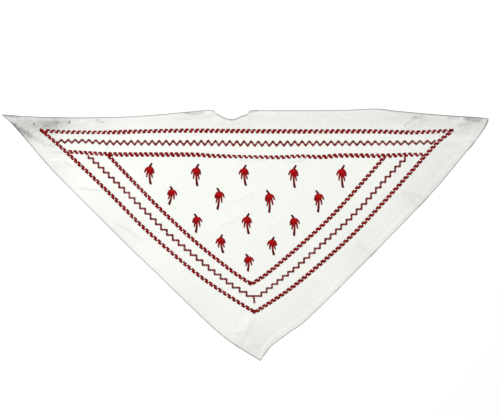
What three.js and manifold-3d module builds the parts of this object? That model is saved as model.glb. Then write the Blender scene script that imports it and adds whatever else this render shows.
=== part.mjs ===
// Triangular cotton neckerchief, lying flat with its embroidered side up.
// Millimetres. X runs along the long edge, Y points from the lower point to the long edge, Z is up.
// The origin is the middle of the outline's box, on the surface that the cloth rests on.
//
// The pieces, from the surface up:
//   three narrow hems, turned under the edges
//   the cloth panel, one wall that follows the folds and rises over the hems
//   the embroidery: outer bands, zigzags, inner bands and fifteen small palms

import * as THREE from 'three';
import { mergeVertices } from 'three/addons/utils/BufferGeometryUtils.js';
import Module from 'manifold-3d';

const wasm = await Module();
wasm.setup();

// Driving dimensions

const LONG_EDGE = 760; // left tip to right tip
const DEPTH = 394; // highest point of the long edge to the lower point
const CLOTH_WALL = 1; // thickness of the cotton
const HEM_WALL = 1; // thickness of the layer turned under the edge
const HEM_WIDTH = 6;
const HEM_SETBACK = 0.5; // from the edge of the panel to the edge of the hem
const HEM_EASE = 1; // flat cloth past the hem, before the panel comes down
const HEM_SLOPE = 3; // width over which the panel comes down
const HEM_END_CUT = 1; // taken off each end of a hem, along its edge
const CLEARANCE = 0.3; // between pieces that lie on or against each other
const FOLD_RISE = 2; // height of a full fold

const THREAD_RISE = 0.8; // height of the embroidery
const TOP_BAND = 6; // width of the bands along the long edge
const SIDE_BAND = 5.2; // width of the bands along the two short edges
const ZIGZAG_THREAD = 1.6;
const ZIGZAG_HEIGHT = 6.6; // trough to peak of its middle line, along the long edge
const ZIGZAG_TAIL = 10.6; // straight run below the corner where the two stairs meet
const PALM_HEIGHT = 34;
const PALM_WIDTH = 15;

// How finely the shapes are divided

const RINGS = 15; // rings of the cloth, from the edge to the centre
const BAND_STEP = 15; // length of one step along a band
const ZIGZAG_REACH = 3; // how far round a point the cloth under a zigzag is felt
const FELT_TURNS = 8; // directions in which the cloth round a point is felt
const CUT_HEIGHT = 30; // height of the walls that rows of stitching are cut with
const STROKE_STEPS = 2; // steps along one stroke of a palm
const CROWN_SIDES = 8;

// The outline: three edges, each a smooth curve from corner to corner.
// along is a share of LONG_EDGE from the middle, up a share of DEPTH from the middle.

const TOP_EDGE = [
  { along: -0.5, up: 0.477 },
  { along: -0.415, up: 0.467 },
  { along: -0.29, up: 0.466 },
  { along: -0.205, up: 0.473 },
  { along: -0.119, up: 0.487 },
  { along: -0.069, up: 0.495 },
  { along: -0.059, up: 0.483 },
  { along: -0.04, up: 0.463 },
  { along: -0.024, up: 0.458 },
  { along: -0.006, up: 0.471 },
  { along: 0.004, up: 0.477 },
  { along: 0.012, up: 0.493 },
  { along: 0.03, up: 0.494 },
  { along: 0.08, up: 0.494 },
  { along: 0.2, up: 0.495 },
  { along: 0.27, up: 0.5 },
  { along: 0.313, up: 0.491 },
  { along: 0.387, up: 0.478 },
  { along: 0.473, up: 0.466 },
  { along: 0.5, up: 0.461 },
];
const RIGHT_EDGE = [
  { along: 0.5, up: 0.461 },
  { along: 0.495, up: 0.43 },
  { along: 0.486, up: 0.402 },
  { along: 0.473, up: 0.37 },
  { along: 0.424, up: 0.254 },
  { along: 0.387, up: 0.171 },
  { along: 0.313, up: 0.021 },
  { along: 0.214, up: -0.173 },
  { along: 0.128, up: -0.336 },
  { along: 0.091, up: -0.389 },
  { along: 0.054, up: -0.443 },
  { along: 0.04, up: -0.476 },
  { along: 0.032, up: -0.5 },
];
const LEFT_EDGE = [
  { along: 0.032, up: -0.5 },
  { along: -0.008, up: -0.453 },
  { along: -0.045, up: -0.403 },
  { along: -0.082, up: -0.34 },
  { along: -0.18, up: -0.157 },
  { along: -0.242, up: -0.042 },
  { along: -0.341, up: 0.148 },
  { along: -0.402, up: 0.268 },
  { along: -0.452, up: 0.381 },
  { along: -0.479, up: 0.441 },
  { along: -0.5, up: 0.477 },
];

// The dip in the long edge is cut with finer steps than the rest of that edge.
// steps and edge are both shares of the whole edge.

const TOP_EDGE_PACE = [
  { steps: 0, edge: 0 },
  { steps: 0.4, edge: 0.425 },
  { steps: 0.6, edge: 0.52 },
  { steps: 1, edge: 1 },
];
const EVEN_PACE = [
  { steps: 0, edge: 0 },
  { steps: 1, edge: 1 },
];

// Folds of the cloth. Each one runs from one place to another, with its half width as a share of
// DEPTH and its rise as a share of FOLD_RISE.

const FOLDS = [
  { name: 'left tip, upper', from: [-0.49, 0.462], to: [-0.4, 0.452], half: 0.035, rise: 0.6 },
  { name: 'left tip, lower', from: [-0.475, 0.44], to: [-0.4, 0.37], half: 0.035, rise: 1 },
  { name: 'left margin, first', from: [-0.385, 0.29], to: [-0.33, 0.27], half: 0.03, rise: 0.25 },
  { name: 'left margin, second', from: [-0.335, 0.19], to: [-0.285, 0.17], half: 0.03, rise: 0.3 },
  { name: 'left margin, third', from: [-0.265, 0.04], to: [-0.21, 0.0], half: 0.035, rise: 0.3 },
  { name: 'left of the dip', from: [-0.14, 0.475], to: [-0.075, 0.482], half: 0.03, rise: 0.5 },
  { name: 'under the dip', from: [-0.055, 0.45], to: [0.0, 0.44], half: 0.028, rise: 0.4 },
  { name: 'right of the dip', from: [0.01, 0.48], to: [0.06, 0.475], half: 0.03, rise: 0.4 },
  { name: 'upper right diagonal', from: [0.36, 0.46], to: [0.325, 0.42], half: 0.03, rise: 0.5 },
  { name: 'right tip', from: [0.44, 0.44], to: [0.5, 0.45], half: 0.035, rise: 0.8 },
  { name: 'right margin, first', from: [0.41, 0.37], to: [0.48, 0.35], half: 0.03, rise: 0.6 },
  { name: 'right margin, second', from: [0.32, 0.17], to: [0.38, 0.12], half: 0.04, rise: 0.4 },
  { name: 'right margin, third', from: [0.23, -0.04], to: [0.28, -0.09], half: 0.035, rise: 0.3 },
  { name: 'lower right', from: [0.14, -0.17], to: [0.19, -0.22], half: 0.03, rise: 0.3 },
  { name: 'lower point', from: [0.01, -0.34], to: [-0.02, -0.44], half: 0.035, rise: 0.5 },
  { name: 'lower point, right', from: [0.01, -0.43], to: [0.04, -0.46], half: 0.035, rise: 0.4 },
  { name: 'middle, left', from: [-0.06, 0.02], to: [-0.01, 0.08], half: 0.03, rise: 0.12 },
  { name: 'middle, upper', from: [-0.04, 0.12], to: [0.04, 0.18], half: 0.03, rise: 0.12 },
  { name: 'middle, right', from: [0.04, 0.02], to: [0.1, 0.06], half: 0.03, rise: 0.1 },
];

// Centre lines of the bands, as shares of LONG_EDGE and DEPTH.
// The side bands run from the long edge down to the lower corner.

const OUTER_TOP = [
  [-0.42, 0.416], [-0.378, 0.409], [-0.293, 0.407], [-0.208, 0.411], [-0.123, 0.414],
  [0.004, 0.412], [0.131, 0.411], [0.258, 0.411], [0.343, 0.407], [0.386, 0.41], [0.428, 0.414],
];
const OUTER_LEFT = [
  [-0.42, 0.416], [-0.388, 0.365], [-0.327, 0.256], [-0.268, 0.145],
  [-0.21, 0.032], [-0.148, -0.075], [-0.084, -0.176], [-0.015, -0.265], [0.02, -0.306],
];
const OUTER_RIGHT = [
  [0.428, 0.414], [0.394, 0.364], [0.337, 0.242], [0.279, 0.119],
  [0.22, 0], [0.157, -0.11], [0.091, -0.215], [0.02, -0.306],
];
const INNER_TOP = [
  [-0.362, 0.33], [-0.275, 0.32], [-0.189, 0.319], [-0.102, 0.318], [-0.059, 0.313],
  [0.028, 0.309], [0.071, 0.308], [0.114, 0.312], [0.157, 0.309], [0.201, 0.315],
  [0.287, 0.314], [0.331, 0.318], [0.374, 0.318],
];
const INNER_LEFT = [
  [-0.281, 0.316], [-0.22, 0.193], [-0.158, 0.073], [-0.093, -0.041], [-0.024, -0.147], [0.013, -0.194],
];
const INNER_RIGHT = [
  [0.287, 0.311], [0.231, 0.187], [0.174, 0.068], [0.112, -0.043], [0.048, -0.148], [0.013, -0.194],
];

// The zigzags. count is the number of waves or stairs sewn up to that place.
// The top one swings to both sides of its line, by height as a share of ZIGZAG_HEIGHT.
// The side ones are stairs, down and then across.

const TOP_ZIGZAG = [
  { count: 0, along: -0.384, up: 0.37, height: 0.72 },
  { count: 4, along: -0.327, up: 0.371, height: 0.72 },
  { count: 7, along: -0.284, up: 0.365, height: 0.84 },
  { count: 21.5, along: -0.075, up: 0.364, height: 1 },
  { count: 28.5, along: 0.028, up: 0.361, height: 1 },
  { count: 40, along: 0.2, up: 0.363, height: 0.9 },
  { count: 48, along: 0.32, up: 0.364, height: 0.83 },
  { count: 52.5, along: 0.389, up: 0.367, height: 0.7 },
];
const LEFT_ZIGZAG = [
  { count: 0, along: -0.321, up: 0.322 },
  { count: 3, along: -0.29, up: 0.266 },
  { count: 8, along: -0.237, up: 0.167 },
  { count: 14, along: -0.172, up: 0.041 },
  { count: 17, along: -0.136, up: -0.022 },
  { count: 23, along: -0.062, up: -0.14 },
  { count: 26, along: -0.025, up: -0.193 },
  { count: 29, along: 0.018, up: -0.243 },
];
const RIGHT_ZIGZAG = [
  { count: 0, along: 0.329, up: 0.311 },
  { count: 4, along: 0.289, up: 0.23 },
  { count: 9, along: 0.24, up: 0.122 },
  { count: 12, along: 0.209, up: 0.06 },
  { count: 22, along: 0.1, up: -0.13 },
  { count: 28, along: 0.034, up: -0.228 },
  { count: 29, along: 0.018, up: -0.243 },
];

// One palm, in shares of PALM_WIDTH and PALM_HEIGHT from the middle of its crown.
// Each stroke bends from start through bend to tip, and narrows from wide to thin.

const CROWN_ACROSS = 0.62;
const CROWN_UP = 0.26;
const PALM_STROKES = [
  { name: 'sprig', start: [-0.02, 0.09], bend: [0.11, 0.21], tip: [0.29, 0.31], wide: 0.22, thin: 0.15 },
  { name: 'far left', start: [-0.1, 0.08], bend: [-0.44, 0.08], tip: [-0.48, -0.155], wide: 0.24, thin: 0.08 },
  { name: 'near left', start: [-0.08, 0], bend: [-0.26, -0.14], tip: [-0.29, -0.35], wide: 0.24, thin: 0.1 },
  { name: 'near right', start: [0.08, 0], bend: [0.22, -0.16], tip: [0.31, -0.38], wide: 0.24, thin: 0.1 },
  { name: 'far right', start: [0.1, 0.08], bend: [0.4, 0.08], tip: [0.42, -0.175], wide: 0.24, thin: 0.08 },
  { name: 'trunk', start: [0.01, 0], bend: [0, -0.42], tip: [0.14, -0.71], wide: 0.15, thin: 0.19 },
];

// The fifteen palms. lean 1 has its sprig and foot to the right, lean -1 to the left.
// high is a share of PALM_HEIGHT, tilt is in degrees.

const PALMS = [
  { along: -0.196, up: 0.258, lean: 1, high: 0.95, tilt: 0 },
  { along: -0.1, up: 0.253, lean: 1, high: 0.99, tilt: 0 },
  { along: -0.002, up: 0.251, lean: 1, high: 0.92, tilt: 3 },
  { along: 0.1, up: 0.248, lean: 1, high: 1, tilt: 0 },
  { along: 0.199, up: 0.248, lean: 1, high: 1.02, tilt: 0 },
  { along: -0.149, up: 0.168, lean: -1, high: 0.83, tilt: 9 },
  { along: -0.052, up: 0.159, lean: -1, high: 0.96, tilt: 3 },
  { along: 0.051, up: 0.15, lean: -1, high: 1.02, tilt: -3 },
  { along: 0.152, up: 0.15, lean: -1, high: 0.98, tilt: -2 },
  { along: -0.098, up: 0.06, lean: -1, high: 0.84, tilt: 0 },
  { along: 0.004, up: 0.059, lean: 1, high: 0.92, tilt: 3 },
  { along: 0.102, up: 0.054, lean: -1, high: 0.95, tilt: -3 },
  { along: -0.05, up: -0.023, lean: 1, high: 0.83, tilt: 7 },
  { along: 0.056, up: -0.031, lean: 1, high: 0.82, tilt: 3 },
  { along: 0.008, up: -0.097, lean: -1, high: 0.77, tilt: -2 },
];

// Finishes

const FINISHES = {
  cotton: { color: 0xf1f2ee, roughness: 0.92, metalness: 0 },
  hem: { color: 0xe9eae5, roughness: 0.92, metalness: 0 },
  band: { color: 0x9d1a1f, roughness: 0.6, metalness: 0 },
  zigzag: { color: 0x8c1519, roughness: 0.62, metalness: 0 },
  palm: { color: 0xb01418, roughness: 0.5, metalness: 0 },
};

function namedMesh(name, geometry, finish) {
  const mesh = new THREE.Mesh(geometry, new THREE.MeshStandardMaterial(FINISHES[finish]));
  mesh.name = name;
  return mesh;
}

// The outline as curves, and the centre that it shrinks towards

function place(along, up) {
  return new THREE.Vector2(along * LONG_EDGE, up * DEPTH);
}

function curveThrough(shares) {
  return new THREE.SplineCurve(shares.map(([along, up]) => place(along, up)));
}

function edgeCurve(rows) {
  return new THREE.SplineCurve(rows.map((row) => place(row.along, row.up)));
}

const EDGES = [
  { curve: edgeCurve(TOP_EDGE), pace: TOP_EDGE_PACE },
  { curve: edgeCurve(RIGHT_EDGE), pace: EVEN_PACE },
  { curve: edgeCurve(LEFT_EDGE), pace: EVEN_PACE },
];

function innerCircle() {
  const corners = EDGES.map((edge) => edge.curve.points[0]);
  const opposite = corners.map((_, i) => corners[(i + 1) % 3].distanceTo(corners[(i + 2) % 3]));
  const perimeter = opposite[0] + opposite[1] + opposite[2];
  const centre = new THREE.Vector2();
  corners.forEach((corner, i) => centre.addScaledVector(corner, opposite[i] / perimeter));
  const doubleArea = Math.abs(
    corners[1].clone().sub(corners[0]).cross(corners[2].clone().sub(corners[0])),
  );
  return { centre, radius: doubleArea / perimeter };
}

const { centre: CENTRE, radius: INNER_RADIUS } = innerCircle();

function paceAt(pace, share) {
  const steps = THREE.MathUtils.clamp(share, 0, 1);
  const next = Math.max(1, pace.findIndex((row) => row.steps >= steps));
  const low = pace[next - 1];
  const high = pace[next];
  return low.edge + ((steps - low.steps) / (high.steps - low.steps)) * (high.edge - low.edge);
}

// A point of an edge, moved inwards. Shrinking a triangle towards the middle of its inner circle
// moves all three sides in by the same distance.
function insetPoint(edge, share, distance) {
  const point = edge.curve.getPointAt(paceAt(edge.pace, share));
  return point.lerp(CENTRE, distance / INNER_RADIUS);
}

// Height of the underside of the cloth, from the folds and the hems

function foldLift(point) {
  let lift = 0;
  for (const fold of FOLDS) {
    const start = place(...fold.from);
    const run = place(...fold.to).sub(start);
    const along = point.clone().sub(start).dot(run) / run.lengthSq();
    const nearest = start.clone().addScaledVector(run, THREE.MathUtils.clamp(along, 0, 1));
    const away = point.distanceTo(nearest) / (fold.half * DEPTH);
    if (away < 1) {
      lift = Math.max(lift, fold.rise * FOLD_RISE * Math.cos((away * Math.PI) / 2) ** 2);
    }
  }
  return lift;
}

// The cloth panel is a net of rings. Ring 0 is the outline, and each ring further in has three
// fewer steps along each edge, down to one point at the centre.

const FLAT_EDGE = HEM_WIDTH + HEM_EASE;

function ringDistance(ring) {
  if (ring === 0) {
    return 0;
  }
  if (ring === 1) {
    return FLAT_EDGE;
  }
  const foot = FLAT_EDGE + HEM_SLOPE;
  return foot + ((ring - 2) / (RINGS - 2)) * (INNER_RADIUS - foot);
}

function clothNet() {
  const points = [];
  const firstOfRing = [];
  for (let ring = 0; ring <= RINGS; ring += 1) {
    firstOfRing.push(points.length);
    const steps = 3 * (RINGS - ring);
    const hemLift = ring < 2 ? HEM_WALL + CLEARANCE : 0;
    if (steps === 0) {
      points.push({ at: CENTRE.clone(), under: foldLift(CENTRE) });
    }
    for (const edge of EDGES) {
      for (let step = 0; step < steps; step += 1) {
        const at = insetPoint(edge, step / steps, ringDistance(ring));
        points.push({ at, under: foldLift(at) + hemLift });
      }
    }
  }
  const faces = [];
  for (let ring = 0; ring < RINGS; ring += 1) {
    const outer = 3 * (RINGS - ring);
    const inner = outer - 3;
    const outerAt = (step) => firstOfRing[ring] + ((step + 3 * outer) % (3 * outer));
    const innerAt = (step) => firstOfRing[ring + 1] + (inner === 0 ? 0 : (step + 3 * inner) % (3 * inner));
    for (let side = 0; side < 3; side += 1) {
      const out = side * outer;
      const into = side * inner;
      faces.push([outerAt(out - 1), outerAt(out), innerAt(into)]);
      faces.push([outerAt(out), outerAt(out + 1), innerAt(into)]);
      for (let step = 0; step < outer - 2; step += 1) {
        faces.push([outerAt(out + step + 1), outerAt(out + step + 2), innerAt(into + step)]);
      }
      for (let step = 1; step <= inner; step += 1) {
        faces.push([innerAt(into + step - 1), outerAt(out + step + 1), innerAt(into + step)]);
      }
    }
  }
  return { points, faces, rim: firstOfRing[1] };
}

const NET = clothNet();

function clothPanel() {
  const { points, faces, rim } = NET;
  const positions = [];
  points.forEach(({ at, under }) => positions.push(at.x, at.y, under + CLOTH_WALL));
  points.forEach(({ at, under }) => positions.push(at.x, at.y, under));
  const below = points.length;
  const index = [];
  faces.forEach(([a, b, c]) => index.push(c, b, a, below + a, below + b, below + c));
  for (let i = 0; i < rim; i += 1) {
    const next = (i + 1) % rim;
    index.push(i, next, below + i, next, below + next, below + i);
  }
  const geometry = new THREE.BufferGeometry();
  geometry.setAttribute('position', new THREE.Float32BufferAttribute(positions, 3));
  geometry.setIndex(index);
  geometry.computeVertexNormals();
  return namedMesh('cloth_panel', geometry, 'cotton');
}

// Underside height of the faceted panel at any place, or null past its edge

function undersideAt(x, y) {
  for (const face of NET.faces) {
    const [a, b, c] = face.map((i) => NET.points[i]);
    const area = (b.at.x - a.at.x) * (c.at.y - a.at.y) - (c.at.x - a.at.x) * (b.at.y - a.at.y);
    const toB = ((x - a.at.x) * (c.at.y - a.at.y) - (c.at.x - a.at.x) * (y - a.at.y)) / area;
    const toC = ((b.at.x - a.at.x) * (y - a.at.y) - (x - a.at.x) * (b.at.y - a.at.y)) / area;
    if (toB >= 0 && toC >= 0 && toB + toC <= 1) {
      return a.under + toB * (b.under - a.under) + toC * (c.under - a.under);
    }
  }
  return null;
}

function undersideAround(point, reach) {
  const heights = [undersideAt(point.x, point.y)];
  for (let turn = 0; turn < FELT_TURNS; turn += 1) {
    const angle = (turn * 2 * Math.PI) / FELT_TURNS;
    heights.push(undersideAt(point.x + reach * Math.cos(angle), point.y + reach * Math.sin(angle)));
  }
  return heights.filter((height) => height !== null);
}

// Height at which a piece lies on the panel, clear of every facet within reach
function seatOnCloth(point, reach) {
  return Math.max(...undersideAround(point, reach)) + CLOTH_WALL + CLEARANCE;
}

// A flat strip between the rows of points on its right and left side. Each row holds the place of
// a point and the height of the strip's underside there.

function strip(rightRow, leftRow, rise) {
  const positions = [];
  rightRow.forEach((right, i) => {
    const left = leftRow[i];
    positions.push(right.at.x, right.at.y, right.under, left.at.x, left.at.y, left.under);
    positions.push(left.at.x, left.at.y, left.under + rise, right.at.x, right.at.y, right.under + rise);
  });
  const index = [];
  for (let step = 0; step < rightRow.length - 1; step += 1) {
    for (let side = 0; side < 4; side += 1) {
      const a = step * 4 + side;
      const b = step * 4 + ((side + 1) % 4);
      index.push(a, b, a + 4, b, b + 4, a + 4);
    }
  }
  const last = (rightRow.length - 1) * 4;
  index.push(0, 2, 1, 0, 3, 2, last, last + 1, last + 2, last, last + 2, last + 3);
  const geometry = new THREE.BufferGeometry();
  geometry.setAttribute('position', new THREE.Float32BufferAttribute(positions, 3));
  geometry.setIndex(index);
  geometry.computeVertexNormals();
  return geometry;
}

// The hems: one flat strip under each edge of the panel, with a mitred cut at each end

function hem(name, edge) {
  const endShare = HEM_END_CUT / edge.curve.getLength();
  const steps = 3 * RINGS;
  const pointAt = (step, distance) => {
    const share = THREE.MathUtils.clamp(step / steps, endShare, 1 - endShare);
    return insetPoint(edge, share, distance);
  };
  const rowAt = (distance) => Array.from({ length: steps + 1 }, (_, step) => {
    const felt = [-1, -0.5, 0, 0.5, 1].map((aside) => pointAt(step + aside, distance));
    const panel = Math.min(...felt.flatMap((at) => undersideAround(at, HEM_SETBACK / 2)));
    return { at: pointAt(step, distance), under: panel - CLEARANCE - HEM_WALL };
  });
  return namedMesh(name, strip(rowAt(HEM_WIDTH), rowAt(HEM_SETBACK), HEM_WALL), 'hem');
}

// Bands of stitching, with mitred bends, lying on the panel

function bandGeometry(centres, width, reach) {
  const rightRow = [];
  const leftRow = [];
  const seated = (at) => ({ at, under: seatOnCloth(at, reach) });
  centres.forEach((point, i) => {
    const before = i > 0 ? point.clone().sub(centres[i - 1]).normalize() : null;
    const after = i < centres.length - 1 ? centres[i + 1].clone().sub(point).normalize() : null;
    const ahead = (before ?? after).clone().add(after ?? before).normalize();
    const mitre = width / 2 / ahead.dot(after ?? before);
    const aside = new THREE.Vector2(-ahead.y, ahead.x).multiplyScalar(mitre);
    rightRow.push(seated(point.clone().sub(aside)));
    leftRow.push(seated(point.clone().add(aside)));
  });
  return strip(rightRow, leftRow, THREAD_RISE);
}

function bandCentres(shares) {
  const curve = curveThrough(shares);
  return curve.getSpacedPoints(Math.ceil(curve.getLength() / BAND_STEP));
}

// A column of a zigzag's table after a number of waves or stairs, between its rows

function atCount(rows, count, column) {
  const next = Math.max(1, rows.findIndex((row) => row.count >= count));
  const low = rows[next - 1];
  const high = rows[next];
  return THREE.MathUtils.mapLinear(count, low.count, high.count, low[column], high[column]);
}

function placeAtCount(rows, count) {
  return place(atCount(rows, count, 'along'), atCount(rows, count, 'up'));
}

function waveCentres(rows) {
  const centres = [];
  for (let half = 0; half <= 2 * rows[rows.length - 1].count; half += 1) {
    const swing = half % 2 === 0 ? -0.5 : 0.5;
    const centre = placeAtCount(rows, half / 2);
    centre.y += swing * ZIGZAG_HEIGHT * atCount(rows, half / 2, 'height');
    centres.push(centre);
  }
  return centres;
}

function stairCentres(rows) {
  const centres = [];
  for (let stair = 0; stair <= rows[rows.length - 1].count; stair += 1) {
    const corner = placeAtCount(rows, stair);
    if (stair > 0) {
      centres.push(new THREE.Vector2(centres[centres.length - 1].x, corner.y));
    }
    centres.push(corner);
  }
  return centres;
}

// Where one row of stitching ends against another, it is cut clear of it

function solidOf(geometry) {
  const bare = geometry.clone();
  bare.deleteAttribute('normal');
  bare.deleteAttribute('uv');
  const merged = mergeVertices(bare, 1e-4);
  const mesh = new wasm.Mesh({
    numProp: 3,
    vertProperties: new Float32Array(merged.attributes.position.array),
    triVerts: new Uint32Array(merged.index.array),
  });
  return new wasm.Manifold(mesh);
}

function geometryOf(solid) {
  const mesh = solid.getMesh();
  const geometry = new THREE.BufferGeometry();
  geometry.setAttribute('position', new THREE.BufferAttribute(mesh.vertProperties, 3));
  geometry.setIndex(new THREE.BufferAttribute(mesh.triVerts, 1));
  geometry.computeVertexNormals();
  return geometry;
}

// A tall wall along a row of stitching, as wide as the row and its clearance
function clearanceWall(centres, width) {
  const half = width / 2 + CLEARANCE;
  const walls = [];
  for (let i = 1; i < centres.length; i += 1) {
    const run = centres[i].clone().sub(centres[i - 1]);
    const length = run.length() + 2 * half;
    const block = new THREE.BoxGeometry(length, 2 * half, CUT_HEIGHT);
    block.rotateZ(run.angle());
    const middle = centres[i].clone().add(centres[i - 1]).multiplyScalar(0.5);
    block.translate(middle.x, middle.y, 0);
    walls.push(solidOf(block));
  }
  return walls.reduce((joined, wall) => joined.add(wall));
}

// What is left of a row past the wall it ends against is dropped
function cutClear(geometry, walls) {
  const cut = walls.reduce((solid, wall) => solid.subtract(wall), solidOf(geometry));
  const bodies = cut.decompose().sort((a, b) => b.volume() - a.volume());
  return geometryOf(bodies[0]);
}

function bands() {
  const outerTop = bandCentres(OUTER_TOP);
  const outerLeft = bandCentres(OUTER_LEFT);
  const outerRight = bandCentres(OUTER_RIGHT);
  const innerTop = bandCentres(INNER_TOP);
  const innerLeft = bandCentres(INNER_LEFT);
  const innerRight = bandCentres(INNER_RIGHT);
  const topBand = (centres) => bandGeometry(centres, TOP_BAND, BAND_STEP / 2);
  const sideBand = (centres) => bandGeometry(centres, SIDE_BAND, BAND_STEP / 2);
  const outerTopWall = clearanceWall(outerTop, TOP_BAND);
  const outerLeftWall = clearanceWall(outerLeft, SIDE_BAND);
  const outerRightWall = clearanceWall(outerRight, SIDE_BAND);
  const innerTopWall = clearanceWall(innerTop, TOP_BAND);
  const innerLeftWall = clearanceWall(innerLeft, SIDE_BAND);

  const zigzag = (centres) => bandGeometry(centres, ZIGZAG_THREAD, ZIGZAG_REACH);
  const leftStairs = stairCentres(LEFT_ZIGZAG);
  const meeting = leftStairs[leftStairs.length - 1];
  leftStairs.push(new THREE.Vector2(meeting.x + ZIGZAG_THREAD, meeting.y - ZIGZAG_TAIL));
  const meetingWall = clearanceWall(leftStairs.slice(-3), ZIGZAG_THREAD);
  const waves = zigzag(waveCentres(TOP_ZIGZAG));
  const rightStairs = zigzag(stairCentres(RIGHT_ZIGZAG));

  return [
    namedMesh('outer_band_top', topBand(outerTop), 'band'),
    namedMesh('outer_band_left', cutClear(sideBand(outerLeft), [outerTopWall]), 'band'),
    namedMesh('outer_band_right', cutClear(sideBand(outerRight), [outerTopWall, outerLeftWall]), 'band'),
    namedMesh('zigzag_top', cutClear(waves, [outerLeftWall, outerRightWall]), 'zigzag'),
    namedMesh('zigzag_left', cutClear(zigzag(leftStairs), [innerTopWall]), 'zigzag'),
    namedMesh('zigzag_right', cutClear(rightStairs, [innerTopWall, meetingWall]), 'zigzag'),
    namedMesh('inner_band_top', cutClear(topBand(innerTop), [outerLeftWall, outerRightWall]), 'band'),
    namedMesh('inner_band_left', cutClear(sideBand(innerLeft), [innerTopWall]), 'band'),
    namedMesh('inner_band_right', cutClear(sideBand(innerRight), [innerTopWall, innerLeftWall]), 'band'),
  ];
}

// One palm, drawn as tapered strokes that are joined to an oval crown

function strokeSolid(stroke) {
  const inPalm = ([across, up]) => new THREE.Vector2(across * PALM_WIDTH, up * PALM_HEIGHT);
  const curve = new THREE.QuadraticBezierCurve(inPalm(stroke.start), inPalm(stroke.bend), inPalm(stroke.tip));
  const leftSide = [];
  const rightSide = [];
  for (let step = 0; step <= STROKE_STEPS; step += 1) {
    const share = step / STROKE_STEPS;
    const tangent = curve.getTangent(share);
    const half = (PALM_WIDTH * THREE.MathUtils.lerp(stroke.wide, stroke.thin, share)) / 2;
    const point = curve.getPoint(share);
    leftSide.push(point.clone().add(new THREE.Vector2(-tangent.y, tangent.x).multiplyScalar(half)));
    rightSide.unshift(point.clone().sub(new THREE.Vector2(-tangent.y, tangent.x).multiplyScalar(half)));
  }
  const shape = new THREE.Shape([...leftSide, ...rightSide]);
  return solidOf(new THREE.ExtrudeGeometry(shape, { depth: THREAD_RISE, bevelEnabled: false, steps: 1 }));
}

function crownSolid() {
  const crown = new THREE.CylinderGeometry(0.5, 0.5, 1, CROWN_SIDES);
  crown.rotateX(Math.PI / 2);
  crown.scale(CROWN_ACROSS * PALM_WIDTH, CROWN_UP * PALM_HEIGHT, THREAD_RISE);
  crown.translate(0, 0, THREAD_RISE / 2);
  return solidOf(crown);
}

const PALM = PALM_STROKES.map(strokeSolid).reduce((joined, stroke) => joined.add(stroke), crownSolid());

function palmMesh(palm, number) {
  const sided = palm.lean === 1 ? PALM : PALM.mirror([1, 0, 0]);
  const solid = sided.scale([1, palm.high, 1]).rotate([0, 0, palm.tilt * palm.lean]);
  const geometry = geometryOf(solid);
  const middle = place(palm.along, palm.up);
  const reach = PALM_WIDTH / 2;
  const foot = middle.clone().add(new THREE.Vector2(0, -PALM_HEIGHT / 2));
  const mesh = namedMesh(`palm_${String(number).padStart(2, '0')}`, geometry, 'palm');
  mesh.position.set(middle.x, middle.y, Math.max(seatOnCloth(middle, reach), seatOnCloth(foot, reach)));
  return mesh;
}

function palms() {
  return PALMS.map((palm, i) => palmMesh(palm, i + 1));
}

// The assembly

const neckerchief = new THREE.Group();
neckerchief.add(clothPanel());
neckerchief.add(hem('hem_top', EDGES[0]), hem('hem_right', EDGES[1]), hem('hem_left', EDGES[2]));
neckerchief.add(...bands());
neckerchief.add(...palms());

export default neckerchief;
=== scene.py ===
"""Triangular cotton neckerchief, lying flat with its embroidered side up.

Metres, in the frame's own axes: X along the long edge, Y towards it, Z up.
Tables give places as shares of the long edge (along) and of the depth (up), from the middle.
"""

import math

import bpy
import numpy as np
from bpy.props import FloatProperty, FloatVectorProperty, IntProperty, PointerProperty
from bpy.types import Operator, Panel, PropertyGroup
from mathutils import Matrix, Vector


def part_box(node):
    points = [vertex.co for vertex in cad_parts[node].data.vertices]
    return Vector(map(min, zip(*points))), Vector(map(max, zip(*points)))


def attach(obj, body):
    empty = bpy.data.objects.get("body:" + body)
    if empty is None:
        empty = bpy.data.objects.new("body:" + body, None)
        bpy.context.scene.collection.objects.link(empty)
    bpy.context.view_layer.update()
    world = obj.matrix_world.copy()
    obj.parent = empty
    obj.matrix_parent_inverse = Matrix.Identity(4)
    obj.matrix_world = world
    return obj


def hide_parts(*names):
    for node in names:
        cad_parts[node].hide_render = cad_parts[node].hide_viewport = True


bl_info = {
    "name": "Cotton neckerchief",
    "version": (1, 0, 0),
    "blender": (4, 5, 0),
    "location": "3D View > Sidebar > Neckerchief",
    "description": "Builds a triangular cotton neckerchief with stitched borders and palm trees",
    "category": "Add Mesh",
}

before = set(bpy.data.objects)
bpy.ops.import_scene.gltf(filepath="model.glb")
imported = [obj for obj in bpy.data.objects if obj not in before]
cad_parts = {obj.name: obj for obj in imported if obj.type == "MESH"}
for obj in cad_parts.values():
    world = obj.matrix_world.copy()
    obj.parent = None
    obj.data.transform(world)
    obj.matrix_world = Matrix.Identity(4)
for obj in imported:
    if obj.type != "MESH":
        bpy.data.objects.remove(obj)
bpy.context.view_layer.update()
CLOTH_LOW, CLOTH_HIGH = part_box("cloth_panel")
CLOTH_SIZE = CLOTH_HIGH - CLOTH_LOW

# The outline, corner to corner, as (along, up).

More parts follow.
